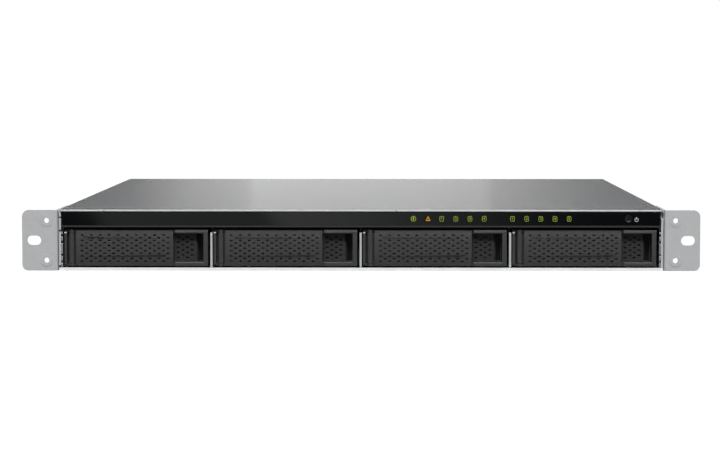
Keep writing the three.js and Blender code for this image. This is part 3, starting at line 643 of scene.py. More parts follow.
# Heat sink, extruded aluminium
EXTRUDED_ALUMINIUM = Finish("extruded_aluminium", "#B7B9BB", 0.38, metallic=0.9, grains=(
    Grain(0.6, tone=0.05, rough=0.08, stretch=(1, 0.05, 0.05)),))
# Circuit board, green solder mask over copper: the tracks show as slightly lighter cells
SOLDER_MASK = Finish("green_solder_mask", "#1F5A37", 0.35, coat=0.3, grains=(
    Grain(2.4, tone=0.22, relief=0.010, stretch=(1, 1, 0.2), pattern=Pattern.CELL), Grain(25, tone=0.06)))
# Light pipes, clear polycarbonate
CLEAR_POLYCARBONATE = Finish("clear_polycarbonate", "#E6EEE2", 0.10, ior=1.585, clear=0.85, grains=(
    Grain(6, rough=0.03),))
# Nickel plate on pins, shields and screws
NICKEL = Finish("nickel_plate", "#C3C2BE", 0.28, metallic=0.9, grains=(
    Grain(0.8, tone=0.04, rough=0.06),))
# Gold flash on contacts
GOLD_FLASH = Finish("gold_flash", "#C9A24E", 0.25, metallic=1.0, grains=(
    Grain(0.4, tone=0.05),))
# Black zinc on the small screws
BLACK_ZINC = Finish("black_zinc", "#3A3B3D", 0.35, metallic=0.6, grains=(
    Grain(0.6, tone=0.08, rough=0.06),))
# Matt black nylon: fans, sockets, inlet
BLACK_NYLON = Finish("black_nylon", "#17181A", 0.50, grains=(
    Grain(0.6, tone=0.08, rough=0.05, relief=0.008),))
# Blank label of matt polyester film on a drive
LABEL_FILM = Finish("polyester_label", "#E4E4E1", 0.55, grains=(
    Grain(18, tone=0.02), Grain(0.5, relief=0.002)))
# Blue tongue of a fast USB socket
BLUE_TONGUE = Finish("blue_nylon", "#2A5FB0", 0.45, grains=(
    Grain(0.5, tone=0.06),))
# Lit symbols behind the window: light through a printed film, slightly uneven
GREEN_LIGHT = Finish("lit_green_film", "#8AA634", 0.40, glow=0.55, grains=(
    Grain(0.6, tone=0.10),))
GREEN_GLOW = Finish("lit_green_ground", "#0E1C02", 0.40, glow=0.20, grains=(
    Grain(0.8, tone=0.15),))
ORANGE_LIGHT = Finish("lit_orange_film", "#AC7C22", 0.40, glow=0.55, grains=(
    Grain(0.6, tone=0.10),))
ORANGE_GLOW = Finish("lit_orange_ground", "#5A3A0C", 0.40, glow=0.40, grains=(
    Grain(0.8, tone=0.15),))
# Screen-printed ink on the window
PRINT_INK = Finish("grey_print", "#B4B6B7", 0.50, grains=(
    Grain(0.4, tone=0.06),))


def paint(obj: Piece, finish: Finish) -> None:
    """Gives an object one finish all over."""
    obj.data.materials.clear()
    obj.data.materials.append(finish.material())


def hand_over(
    obj: Piece, finish: Finish, body: str = "root", replaced: Sequence[str] = ()
) -> Piece:
    """Gives a finished piece its material and its body, hides the CAD nodes it stands for, and logs it.

    Args:
        obj: The finished piece.
        finish: Its finish.
        body: The CAD body it rides on.
        replaced: The CAD nodes it stands for.

    Returns:
        The piece.
    """
    paint(obj, finish)
    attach(obj, body)
    if replaced:
        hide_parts(*replaced)
    log.info("%s: %d faces, on %s", obj.name, len(obj.data.polygons), body)
    return obj


def dress(finish: Finish, *nodes: str) -> None:
    """Gives CAD nodes that stay as they are a finish of their own."""
    for node in nodes:
        paint(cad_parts[node], finish)


def remade(node: str, name: str, finish: Finish, width: float) -> Piece:
    """Draws a CAD node anew, with its edges rounded by a width in millimetres, and hands it over."""
    return hand_over(rounded(drawn_from(node, name), width), finish, replaced=[node])


def hand_over_both(right: Piece, finish: Finish, node: str = "") -> None:
    """Mirrors a piece to the left side and hands both over.

    Args:
        right: The right piece, whose name says so.
        finish: Their finish.
        node: The name of the CAD nodes that they stand for, without its side.
    """
    left = mirrored(right, right.name.replace("right", "left"))
    for obj, side in ((right, "right"), (left, "left")):
        hand_over(obj, finish, replaced=[f"{node}_{side}"] if node else [])


@dataclass
class Screw:
    """A pan-head screw with a cross recess, seen from its head.

    Attributes:
        radius: Head radius.
        height: Head height.
        recess: Length of the cross.
        slim: Width of the cross's arms as a share of its length.
        depth: Depth of the cross as a share of the height.
    """

    radius: float = 3.0
    height: float = 1.2
    recess: float = 3.0
    slim: float = 7 / 30
    depth: float = 0.6

    def head(self, name: str, at: Sequence[float], outward: str) -> Piece:
        """Models one head.

        Args:
            name: The piece's name.
            at: Middle of the head's seat.
            outward: The way it faces, such as "+x".

        Returns:
            The head.
        """
        axis, sign = outward[1], 1 if outward[0] == "+" else -1
        index = "xyz".index(axis)
        others = [v for i, v in enumerate(at) if i != index]
        top = at[index] + sign * self.height
        obj = rod(name, axis, self.radius, tuple(others), tuple(sorted((at[index], top))), 28)
        for long_axis in range(2):
            half = [self.slim * self.recess / 2] * 2
            half[long_axis] = self.recess / 2
            spans = [about(v, h) for v, h in zip(others, half)]
            spans.insert(index, about(top, self.depth * self.height))
            cut(obj, block("cross", *spans))
        return rounded(obj, 0.18)

    def heads(self, name: str, places: Sequence[Sequence[float]], outward: str) -> Piece:
        """Models one head and copies it to the other places.

        Args:
            name: The piece's name.
            places: Middles of the heads' seats.
            outward: The way they face, such as "+x".

        Returns:
            All the heads as one object.
        """
        first = self.head(name, places[0], outward)
        moves = [[b - a for a, b in zip(places[0], place)] for place in places[1:]]
        return joined(name, first, *(copied(first, "screw", move) for move in moves))


@dataclass
class Chassis:
    """Folded sheet metal: pan, fixed rail, cover, ears, finger strips and dividers.

    Attributes:
        fold: Rounding of a folded edge.
        trim: Rounding of a cut edge.
        rear_screws: X and Z of the screws in the rear wall.
        side_screws: Y of the screws in the cover's sides.
        side_screw_z: Their height.
        ear_screws: Y and Z of the screws in an ear's flange.
        ear_screw_x: X of their seat.
        notches: X of the small cuts in the rail's hem.
        hem: The bright strip along that hem.
        wall: X of the side wall's outer face.
        wall_cut: How far inwards from that face the wall's front edge is cut.
        edge: Thickness of the wall along its front edge.
        edge_y: How far back the thin edge reaches.
        edge_z: Its two ends.
        gaps_right: Heights of the gaps in that edge on the right.
        gaps_left: Heights of the gaps on the left.
        groove: X of the ear's end of the groove between the wall and the ear's fold.
        fingers: Heights of the spring fingers.
        curl: X and Y of the fingers' curled tips.
    """

    fold: float = 0.30
    trim: float = 0.18
    rear_screws: tuple[Span, ...] = (
        (-208, 36), (-208, 8), (-104, 36), (-104, 22), (112, 36), (112, 8), (27, 36))
    side_screws: tuple[float, ...] = (120, 220, 320, 420)
    side_screw_z: float = 38.6
    ear_screws: tuple[Span, ...] = ((16, 12), (16, 31), (46, 12), (46, 31))
    ear_screw_x: float = 217.3
    notches: tuple[float, ...] = (-182.8, 25.4, 198.4)
    hem: Box = ((-213.4, 213.4), (-0.06, 0.5), (42.62, 43.4))
    wall: float = 215.0
    wall_cut: float = 1.55
    edge: float = 0.85
    edge_y: float = 1.2
    edge_z: Span = (2.0, 42.2)
    gaps_right: tuple[Span, ...] = ((37.3, 42.2),)
    gaps_left: tuple[Span, ...] = ((2.0, 4.0), (27.6, 29.2), (37.3, 38.6))
    groove: float = 216.0
    fingers: tuple[Span, ...] = ((2.6, 5.6), (7.0, 10.5), (11.9, 19.4), (21.2, 24.4), (25.8, 27.7))
    curl: tuple[Span, Span] = ((212.35, 213.6), (0.6, 2.2))

    def build(self) -> None:
        """Builds and dresses all of the sheet metal."""
        self.pan()
        self.rail()
        self.cover()
        self.ears()
        self.strips()
        self.dividers()
        remade("socket_plate", "rear_plate", ZINC_SHEET, self.trim)
        dress(ZINC_SHEET, "bay_roof", "fan_wall")

    def pan(self) -> None:
        """The folded pan, the thin front edges of its walls and its screws at the back."""
        pan = drawn_from("chassis_pan", "pan")
        edges = []
        for side, gaps in ((-1, self.gaps_left), (1, self.gaps_right)):
            wall = beside(side, self.wall - self.wall_cut, self.wall + 1)
            thin = beside(side, self.wall - self.edge, self.wall)
            edge = block("edge", thin, (0.05, self.edge_y), self.edge_z)
            cut(pan, block("step", wall, (-1, self.edge_y), self.edge_z))
            for piece in (pan, edge):
                cut(piece, *(block("gap", wall, (-1, 7), gap) for gap in gaps))
            edges.append(edge)
        # The thin edges take the darker zinc, as painted shade.
        hand_over(rounded(joined("wall_edges", *edges), 0.12), SHADED_ZINC)
        hand_over(rounded(pan, self.trim), ZINC_SHEET, replaced=["chassis_pan"])
        places = [(x, REAR, z) for x, z in self.rear_screws]
        screws = Screw(radius=2.8, height=0.7).heads("rear_screws", places, "+y")
        hand_over(screws, NICKEL)

    def rail(self) -> None:
        """The fixed strip over the bezel, with its hem and small notches."""
        rail = drawn_from("front_top_rail", "front_rail")
        cut(rail, *(block("notch", about(x, 0.3), (-1, 0.8), (42, 43.1)) for x in self.notches))
        hand_over(rounded(rail, self.fold), SILVER_PAINT, replaced=["front_top_rail"])
        # The strip's light zinc is a painted highlight on the rounded fold.
        edge = block("hem_highlight_strip", *self.hem)
        cut(edge, *(block("notch", about(x, 0.35), (-1, 1), (42, 44)) for x in self.notches))
        hand_over(rounded(edge, 0.05), HEM_HIGHLIGHT_ZINC)

    def cover(self) -> None:
        """The lift-off cover with its side screws."""
        remade("top_cover", "lid", SILVER_PAINT, self.trim)
        places = [(self.wall, y, self.side_screw_z) for y in self.side_screws]
        screws = Screw(radius=2.8, height=0.9).heads("side_screws_right", places, "+x")
        hand_over_both(screws, NICKEL)

    def ears(self) -> None:
        """The rack ears and the screws that hold them."""
        ear = drawn_from("ear_right", "rack_ear_right")
        cut(ear, block("groove", (self.wall, self.groove), (-1, 4), (-1, 45)))
        hand_over_both(rounded(ear, 0.25), FLECKED_COAT, "ear")
        places = [(self.ear_screw_x, y, z) for y, z in self.ear_screws]
        screws = Screw(radius=2.9, height=1.2).heads("ear_screws_right", places, "+x")
        hand_over_both(screws, BLACK_ZINC)

    def strips(self) -> None:
        """The spring strips beside the outer trays, with the curled tips of their fingers."""
        strip = rounded(drawn_from("finger_strip_right", "spring_strip_right"), 0.12)
        curls = [rounded(block("curl", *self.curl, z), 0.5, 4) for z in self.fingers]
        strip = joined("spring_strip_right", strip, *curls)
        hand_over_both(strip, SPRING_STEEL, "finger_strip")

    def dividers(self) -> None:
        """The walls between the bays, with their rolled front edge, in the darker zinc of painted shade."""
        first = rounded(drawn_from("divider_1", "bay_divider_1"), 0.5, 3)
        for number in (2, 3):
            other = copied(first, f"bay_divider_{number}", ((number - 1) * BAY_PITCH, 0, 0))
            hand_over(other, SHADED_ZINC, replaced=[f"divider_{number}"])
        hand_over(first, SHADED_ZINC, replaced=["divider_1"])


@dataclass
class Bezel:
    """The front bezel: frame, smoked window, lit symbols and power button.

    Attributes:
        half: Half of the window's length.
        low: Lower edge of the window.
        high: Upper edge of the window.
        back: Its flat back.
        apex: Its foremost line.
        bulge: How far the middle stands ahead of the edges.
        light_start: X of the first symbol.
        light_pitch: Distance between symbols.
        light_z: Height of their middles.
        end: X of what is cut from each end of the frame beside the window.
        lip_end: X of what is cut from each end of its lip.
        button: X and Z of the power button.
        button_radius: Its radius.
        dish: Width and depth of each step of its dished face.
        symbol: X and Z of the printed power symbol.
        glass: The finished window, on which the symbols are laid.
    """

    half: float = 212.5
    low: float = 32.45
    high: float = 42.0
    back: float = 2.1
    apex: float = -1.54
    bulge: float = 0.6
    light_start: float = 37.5
    light_pitch: float = 10.05
    light_z: float = 37.3
    end: Span = (211.5, 214)
    lip_end: Span = (212.8, 214)
    button: Span = (190.2, 37.2)
    button_radius: float = 2.65
    dish: tuple[Span, ...] = ((0.5, 0.0), (0.35, 0.22), (0.7, 0.08))
    symbol: Span = (195.9, 36.7)
    glass: Piece | None = None

    def build(self) -> None:
        """Builds and dresses the bezel."""
        surround = drawn_from("bezel_frame", "bezel_surround")
        for side in (-1, 1):
            cut(surround, block("end", beside(side, *self.end), (-3, 3), (self.low - 0.1, 45)))
            cut(surround, block("lip_end", beside(side, *self.lip_end), (-3, 3), (30, 45)))
        hand_over(rounded(surround, 0.25), GLOSS_ABS, replaced=["bezel_frame"])
        self.glass = self.window()
        self.symbols()
        self.power_symbol()
        self.power_button()
        dress(CLEAR_POLYCARBONATE, "light_pipe_bar")
        dress(SOLDER_MASK, "led_board")

    def window(self) -> Piece:
        """The window: a round bar cut down to its front, rounded, and bored for the button.

        Returns:
            The window, handed over.
        """
        chord = self.high - self.low
        radius = chord * chord / (8 * self.bulge) + self.bulge / 2
        middle = (self.low + self.high) / 2
        window = rod("smoked_window", "x", radius, (self.apex + radius, middle), (-self.half, self.half), 256)
        with editing(window):
            slice_at(spot(0, self.back, 0), (0, 1, 0), use_fill=True, clear_outer=True)
            slice_at(spot(0, 0, self.low), (0, 0, -1), use_fill=True, clear_outer=True)
            slice_at(spot(0, 0, self.high), (0, 0, 1), use_fill=True, clear_outer=True)
        bore = rod("bore", "y", self.button_radius + 0.25, self.button, (self.apex - 1, self.back + 1), 48)
        cut(window, bore)
        rounded(window, 0.2)
        return hand_over(window, SMOKED_ACRYLIC, replaced=["bezel_window"])

    def lay(self, obj: Piece, thickness: float) -> Piece:
        """Bends a flat outline onto the window and gives it a thickness.

        Args:
            obj: A flat mesh that faces the front, ahead of the window.
            thickness: How far it stands proud, in millimetres.

        Returns:
            The same object as a thin closed shell.
        """
        with editing(obj):
            bpy.ops.mesh.quads_convert_to_tris()
            bpy.ops.mesh.subdivide(number_cuts=2)
        both_ways = {"use_positive_direction": True, "use_negative_direction": True}
        apply(obj, "SHRINKWRAP", target=self.glass, wrap_method="PROJECT", use_project_y=True, **both_ways)
        apply(obj, "SOLIDIFY", thickness=thickness * MM, offset=1.0)
        with editing(obj):
            bpy.ops.mesh.normals_make_consistent(inside=False)
        return obj

    def outline(self, name: str, x: float, z: float, half: Span, corner: float) -> Piece:
        """A flat rounded rectangle ahead of the window.

        Args:
            name: The piece's name.
            x: Its middle.
            z: Its middle height.
            half: Half of its width and height.
            corner: Its corner radius.

        Returns:
            The flat mesh, one face.
        """
        obj = primitive(
            name, bpy.ops.mesh.primitive_plane_add, (half[0] * MM, half[1] * MM, 1),
            size=2, location=spot(x, self.apex - 3, z), rotation=UPRIGHT,
        )
        with editing(obj):
            bpy.ops.mesh.bevel(offset=corner * MM, segments=6, affect="VERTICES")
        return obj

    def ring(self, name: str, x: float, z: float, half: Span, corner: float, line: float) -> Piece:
        """A flat rounded frame: an outline, inset by its line width, with the middle taken out.

        Args:
            name: The piece's name.
            x: Its middle.
            z: Its middle height.
            half: Half of its width and height.
            corner: Its corner radius.
            line: Width of its line.

        Returns:
            The flat mesh.
        """
        obj = self.outline(name, x, z, half, corner)
        with editing(obj):
            bpy.ops.mesh.inset(thickness=line * MM)
            bpy.ops.mesh.delete(type="FACE")
        return obj

    def numeral(self, text: str, x: float, z: float, size: float) -> Piece:
        """A plain numeral as a flat mesh ahead of the window.

        Args:
            text: The digit.
            x: Its middle.
            z: Its middle height.
            size: Height of the type.

        Returns:
            The flat mesh.
        """
        bpy.ops.object.select_all(action="DESELECT")
        bpy.ops.object.text_add(location=spot(x, self.apex - 3, z), rotation=UPRIGHT)
        words = bpy.context.active_object
        words.data.body = text
        words.data.size = size * MM
        words.data.align_x, words.data.align_y = "CENTER", "CENTER"
        words.data.offset = -0.02 * MM
        words.data.resolution_u = 3
        bpy.ops.object.convert(target="MESH")
        return settle("numeral")

    def symbols(self) -> None:
        """The row of lit symbols, each a bright line drawing on a dimmer ground."""
        z = self.light_z
        bright, ground = [], []
        for first, count in ((2, BAY_COUNT), (7, 5)):
            for number in range(count):
                x = self.light_start + (first + number) * self.light_pitch
                bright.append(self.ring("frame", x, z, (1.5, 1.85), 0.95, 0.17))
                bright.append(self.numeral(str(number + 1), x, z, 2.4))
                ground.append(self.outline("ground", x, z, (1.28, 1.63), 0.8))
        x = self.light_start
        bright.append(self.ring("frame", x, z, (1.85, 1.85), 1.84, 0.22))
        bright.append(self.outline("bar", x, z, (0.28, 1.0), 0.2))
        ground.append(self.outline("ground", x, z, (1.6, 1.6), 1.59))
        self.light("lit_symbols", bright, 0.05, GREEN_LIGHT)
        self.light("lit_grounds", ground, 0.03, GREEN_GLOW)
        x += self.light_pitch + 0.4
        hill = self.ring("hill", x, z - 0.35, (1.6, 1.15), 0.6, 0.42)
        core = self.outline("core", x, z - 0.35, (1.3, 0.85), 0.4)
        for shape in (hill, core):
            with editing(shape):
                choose(shape, "VERT", lambda v: v.co.z > z * MM)
                bpy.ops.transform.resize(value=(0.55, 1, 1), center_override=spot(x, 0, z))
        knob = self.outline("knob", x, z + 1.25, (0.45, 0.3), 0.25)
        self.light("lit_warning", [hill, knob], 0.05, ORANGE_LIGHT)
        self.light("warning_ground", [core], 0.03, ORANGE_GLOW)

    def light(self, name: str, shapes: Sequence[Piece], thickness: float, finish: Finish) -> None:
        """Joins flat shapes, lays them on the window and hands them over."""
        hand_over(self.lay(joined(name, *shapes), thickness), finish)

    def power_symbol(self) -> None:
        """The printed power symbol beside the button: an open ring and a stroke."""
        x, z = self.symbol
        ring = self.ring("power_symbol", x, z, (1.45, 1.45), 1.44, 0.36)
        with editing(ring):
            middle, gap = spot(x, 0, z), 0.55 * MM
            choose(ring, "FACE", lambda f: abs(f.calc_center_median().x - middle.x) < gap
                   and f.calc_center_median().z > middle.z)
            bpy.ops.mesh.delete(type="FACE")
        stroke = self.outline("stroke", x, z + 0.95, (0.22, 0.75), 0.15)
        self.light("power_symbol", [ring, stroke], 0.03, PRINT_INK)

    def power_button(self) -> None:
        """The button: a dished, rounded face on a stem with its collar."""
        x, z = self.button
        face = self.apex + 0.3
        button = rod("power_key", "y", self.button_radius, self.button, (face, 4.4), 48)
        front = spot(x, face, z).y
        with editing(button):
            choose(button, "FACE", lambda f: f.normal.y < -0.9 and f.calc_center_median().y < front + 1e-4)
            for width, depth in self.dish:
                bpy.ops.mesh.inset(thickness=width * MM)
                bpy.ops.transform.translate(value=(0, depth * MM, 0))
        collar = rod("collar", "y", self.button_radius + 0.7, self.button, (4.1, 4.8), 48)
        stem = rod("stem", "y", self.button_radius - 0.7, self.button, (4.1, 6.2), 32)
        rounded(united(button, collar, stem), 0.12)
        hand_over(button, BUTTON_ABS, body="button", replaced=["power_button"])


@dataclass
class Tray:
    """A drive tray: front moulding, lever, sled, drive and hinge pin, drawn in the first bay.

    Attributes:
        bottom: Lower edge of the front.
        top: Upper edge of the front.
        face: Front plane.
        lean: How far the front leans back at its top.
        lean_height: Height of the leaning strip.
        lever_x: The lever panel's ends, from the bay's left line.
        lever_back: Back of the panel.
        crown: How far the panel's upper and lower edges lie behind its middle.
        steps: Number of flat bands that make its curve.
        hinge: X from the bay's left line and Y of the hinge axis.
        barrel: Half of the width of the lever's barrel, which is square with rounded corners.
        barrel_inset: How far the barrel's ends lie inside the panel's.
        web_y: The web between barrel and panel, front to back.
        slot_size: Width and height of a slot.
        slot_pitch: Distance between slots across and up.
        slot_top: Height of the first row.
        slot_start: X of the first slot in the upper row of each grid, from the bay's left line.
        recess_y: How deep the recess's slots cut.
        recess_rise: Distance between the rows of one of its two grids.
        recess_start: X of the first slot of each of these grids, from the bay's left line.
        recess_top: Height of the first row.
        deep: The deep pocket at the recess's right end, in the bay.
        shade_sheet: The darker sheet on the recess's wall that paints its shade, in the bay.
        cap: The end of the light pipe in the post, in the bay.
        catch: The lever's catch, in the bay.
        catch_taper: How much thinner it is at its tip.
        sled_holes: Y of the holes in the sled's sides.
        hole_z: Their height.
        hole_radius: Their radius.
        drive_top: Top of the drive's casting.
        lid_half: Half of the drive lid's width.
        lid_thickness: Its thickness.
        lid_y: Its two ends.
        lid_rim: Width of its rim.
        lid_raise: How far its middle stands above the rim.
        dimple: Radius of the dimple over the spindle.
        screw_x: X of the screws on its sides, from the bay's left line.
        screw_y: Y of these screws.
        label_half: Half of the drive label's width.
        label_y: Its two ends.
        label_lift: Its two faces, above the casting's top.
        spindle_y: Y of the drive's spindle.
    """

    bottom: float = 3.3
    top: float = 29.2
    face: float = 0.5
    lean: float = 0.5
    lean_height: float = 1.7
    lever_x: Span = (9.65, 79.2)
    lever_back: float = 2.7
    crown: float = 1.2
    steps: int = 12
    hinge: Span = (6.75, 2.5)
    barrel: float = 1.9
    barrel_inset: float = 2.1
    web_y: Span = (3.4, 4.3)
    slot_size: Span = (2.15, 1.05)
    slot_pitch: Span = (6.46, 1.86)
    slot_top: float = 25.4
    slot_start: Span = (14.2, 17.4)
    recess_y: Span = (6.5, 9.4)
    recess_rise: float = 3.66
    recess_start: Span = (82.4, 85.7)
    recess_top: float = 23.6
    deep: Box = ((96.7, 100.1), (12, 15), (6.6, 26.1))
    shade_sheet: Box = ((79.6, 94.6), (7.1, 7.6), (6.2, 26.5))
    cap: Box = ((1.6, 3.35), (0.35, 3.0), (26.75, 27.5))
    catch: Box = ((72.2, 74.2), (1.6, 5.7), (13.75, 18.75))
    catch_taper: float = 0.9
    sled_holes: tuple[float, ...] = (45, 86, 147)
    hole_z: float = 11.0
    hole_radius: float = 1.6
    drive_top: float = 30.4
    lid_half: float = 46.0
    lid_thickness: float = 0.35
    lid_y: Span = (23, 156)
    lid_rim: float = 3.0
    lid_raise: float = 0.05
    dimple: float = 17.0
    screw_x: Span = (10.5, 95.9)
    screw_y: tuple[float, ...] = (27, 84, 152)
    label_half: float = 38.0
    label_y: Span = (88, 148)
    label_lift: Span = (0.38, 0.46)
    spindle_y: float = 62.0

    def build(self) -> None:
        """Builds one tray and copies it to the other bays."""
        parts = (
            (self.front(), TRAY_ABS, "tray", "tray_plastic", "tray_front"),
            # The recess's darker sheet paints the shade in the recess.
            (self.recess_liner(), SHADE_SHEET_ABS, "tray", "tray_plastic", ""),
            (self.lever(), LEVER_ABS, "lever", "lever_plastic", "tray_lever"),
            (self.sled(), ECOAT_STEEL, "tray", "tray_plastic", "tray_sled"),
            (self.drive_body(), COATED_CASTING, "tray", "drive_metal", "hard_drive"),
            (self.drive_lid(), BRUSHED_STEEL, "tray", "drive_metal", ""),
            (self.drive_label(), LABEL_FILM, "tray", "clear_plastic", ""),
            (self.drive_screws(), NICKEL, "tray", "bright_metal", ""),
            (self.post_cap(), PRINT_INK, "tray", "tray_plastic", ""),
        )
        for first, finish, body, slot, node in parts:
            stem = first.name
            for number in range(1, BAY_COUNT + 1):
                piece = copied(first, f"{stem}_{number}", ((number - 1) * BAY_PITCH, 0, 0))
                replaced = [f"{node}_{number}"] if node else []
                hand_over(piece, finish, f"{body}_{number}", replaced)
            bpy.data.objects.remove(first)
        for number in range(1, BAY_COUNT + 1):
            dress(NICKEL, f"lever_pin_{number}")
            dress(BLACK_NYLON, f"drive_socket_{number}")

    def slots(self, x: float, y: Span, z: float, columns: int, rows: int, row_step: float) -> Piece:
        """Cutters for a grid of small slots with rounded ends, modelled once and repeated.

        Args:
            x: Middle of the first slot, from the bay's left line.
            y: How deep they cut.
            z: Height of the top row.
            columns: How many stand side by side.
            rows: How many rows there are.
            row_step: Distance between rows.

        Returns:
            All the cutters as one object.
        """
        half = (self.slot_size[0] / 2, self.slot_size[1] / 2)
        tool = cornered(block("slot", about(bay(x), half[0]), y, about(z, half[1])), 1, 0.9 * half[1], 2)
        return repeated(tool, (columns, 1, rows), (self.slot_pitch[0], 0, -row_step))

    def panel(self) -> Piece:
        """The lever's crowned panel with its two staggered grids of slots.

        Returns:
            The panel.
        """
        x = (bay(self.lever_x[0]), bay(self.lever_x[1]))
        panel = block("lever", x, (self.face, self.lever_back), (self.bottom, self.top))
        middle = (self.bottom + self.top) / 2
        half = (self.top - self.bottom) / 2
        levels = [self.bottom + i * 2 * half / self.steps for i in range(self.steps + 1)]
        with editing(panel):
            for height in levels[1:-1]:
                slice_at(spot(0, 0, height), (0, 0, 1))
            front = spot(0, self.face + 0.01, 0).y
            for height in levels:
                level = spot(0, 0, height).z
                choose(panel, "VERT", lambda v: v.co.y < front and abs(v.co.z - level) < 1e-5)
                share = abs(height - middle) / half
                bpy.ops.transform.translate(value=(0, self.crown * share ** 3 * MM, 0))
        rounded(panel, 0.65, 4)
        through = (self.face - 1, self.lever_back + 1)
        rise = self.slot_pitch[1]
        first, second = self.slot_start
        cut(panel, self.slots(first, through, self.slot_top, 10, 6, 2 * rise),
            self.slots(second, through, self.slot_top - rise, 10, 5, 2 * rise))
        with editing(panel):
            ahead = spot(0, self.face + self.crown, 0).y
            choose(panel, "EDGE", lambda e: len(e.link_faces) == 2 and e.calc_face_angle() > 1
                   and max(v.co.y for v in e.verts) < ahead and any(f.normal.z > 0.5 for f in e.link_faces))
            bpy.ops.mesh.bevel(offset=0.3 * MM, segments=2)
        return panel

    def lever(self) -> Piece:
        """The lever: its panel, barrel, web, root and catch, bored for the pin.

        Returns:
            The lever.
        """
        lever = self.panel()
        left = bay(self.lever_x[0])
        hinge = (bay(self.hinge[0]), self.hinge[1])
        inner = (self.bottom + self.barrel_inset, self.top - self.barrel_inset)
        barrel = block("barrel", about(hinge[0], self.barrel), about(hinge[1], self.barrel), inner)
        rounded(cornered(barrel, 2, 1.25, 5), 0.3, 3)
        web = block("web", (hinge[0], left + 1.2), self.web_y, inner)
        root = block("root", (left + 0.1, left + 1.6), (2.3, self.web_y[1]), inner)
        catch = in_bay("catch", self.catch)
        with editing(catch):
            middle = spot(bay(sum(self.catch[0]) / 2), sum(self.catch[1]) / 2, 0)
            choose(catch, "VERT", lambda v: v.co.y > middle.y and v.co.x < middle.x)
            bpy.ops.transform.translate(value=(self.catch_taper * MM, 0, 0))
        united(lever, root, barrel, web, rounded(catch, 0.25))
        return smoothed(cut(lever, rod("bore", "z", 0.95, hinge, (self.bottom, self.top), 24)))

    def front(self) -> Piece:
        """The front moulding: post, lugs and the finger recess with its slots and its deep pocket.

        Returns:
            The moulding.
        """
        front = drawn_from("tray_front_1", "tray_face")
        with editing(front):
            plane = spot(0, self.face + 0.05, 0).y
            slice_at(spot(0, 0, self.top - self.lean_height), (0, 0, 1))
            crest = spot(0, 0, self.top - 0.1).z
            choose(front, "VERT", lambda v: v.co.y < plane and v.co.z > crest)
            bpy.ops.transform.translate(value=(0, self.lean * MM, 0))
            choose(front, "EDGE", lambda e: max(v.co.y for v in e.verts) < plane and len(e.link_faces) == 2
                   and e.calc_face_angle() > SHARP)
            bpy.ops.mesh.bevel(offset=0.5 * MM, segments=4)
        rounded(front, 0.2)
        deep = in_bay("deep", self.deep)
        cut(front, *self.recess_slots(), deep)
        return smoothed(front)

    def recess_slots(self) -> tuple[Piece, Piece]:
        """Cutters for the two staggered grids of slots in the finger recess.

        Returns:
            The cutters of each grid as one object.
        """
        y, top, rise = self.recess_y, self.recess_top, self.recess_rise
        first, second = self.recess_start
        return self.slots(first, y, top, 2, 5, rise), self.slots(second, y, top - rise / 2, 2, 4, rise)

    def recess_liner(self) -> Piece:
        """A darker sheet on the recess's wall, with the same slots, that paints the shade in the recess."""
        shade_sheet = rounded(in_bay("recess_liner", self.shade_sheet), 0.1)
        return smoothed(cut(shade_sheet, *self.recess_slots()))

    def post_cap(self) -> Piece:
        """The small pale light pipe end in the top of the post."""
        cap = in_bay("post_light", self.cap)
        return rounded(cornered(cap, 2, 0.3, 3), 0.15)

    def sled(self) -> Piece:
        """The sled, with the holes of its drive screws.

        Returns:
            The sled.
        """
        sled = drawn_from("tray_sled_1", "sled")
        across = (bay(0), bay(106))
        holes = [rod("hole", "x", self.hole_radius, (y, self.hole_z), across, 20) for y in self.sled_holes]
        return rounded(cut(sled, *holes), 0.15)

    def drive_body(self) -> Piece:
        """The drive's cast body."""
        return rounded(drawn_from("hard_drive_1", "drive_body"), 0.4, 3)

    def drive_lid(self) -> Piece:
        """The pressed steel lid with its raised middle and the dimple over the spindle.

        Returns:
            The lid.
        """
        top = self.drive_top + self.lid_thickness
        lid = block("drive_lid", about(bay(BAY_MIDDLE), self.lid_half), self.lid_y, (self.drive_top, top))
        with editing(cornered(lid, 2, 6, 6)):
            level = spot(0, 0, top - 0.05).z
            choose(lid, "FACE", lambda f: f.calc_center_median().z > level)
            bpy.ops.mesh.inset(thickness=self.lid_rim * MM)
            bpy.ops.transform.translate(value=(0, 0, self.lid_raise * MM))
        dimple = rod("dimple", "z", self.dimple, (bay(BAY_MIDDLE), self.spindle_y), (top - 0.1, top + 1), 48)
        return rounded(cut(lid, dimple), 0.12)

    def drive_label(self) -> Piece:
        """The blank label on the lid.

        Returns:
            The label.
        """
        height = (self.drive_top + self.label_lift[0], self.drive_top + self.label_lift[1])
        label = block("drive_label", about(bay(BAY_MIDDLE), self.label_half), self.label_y, height)
        return smoothed(cornered(label, 2, 2, 4))

    def drive_screws(self) -> Piece:
        """The lid's screws and the spindle screw.

        Returns:
            All the screws as one object.
        """
        places = [(bay(x), y, self.drive_top) for y in self.screw_y for x in self.screw_x]
        screws = Screw(radius=1.8, height=0.4, recess=2.0).heads("drive_screws", places, "+z")
        place = (bay(BAY_MIDDLE), self.spindle_y, self.drive_top + 0.1)
        return joined("drive_screws", screws, Screw(radius=3.2, height=0.25).head("spindle", place, "+z"))


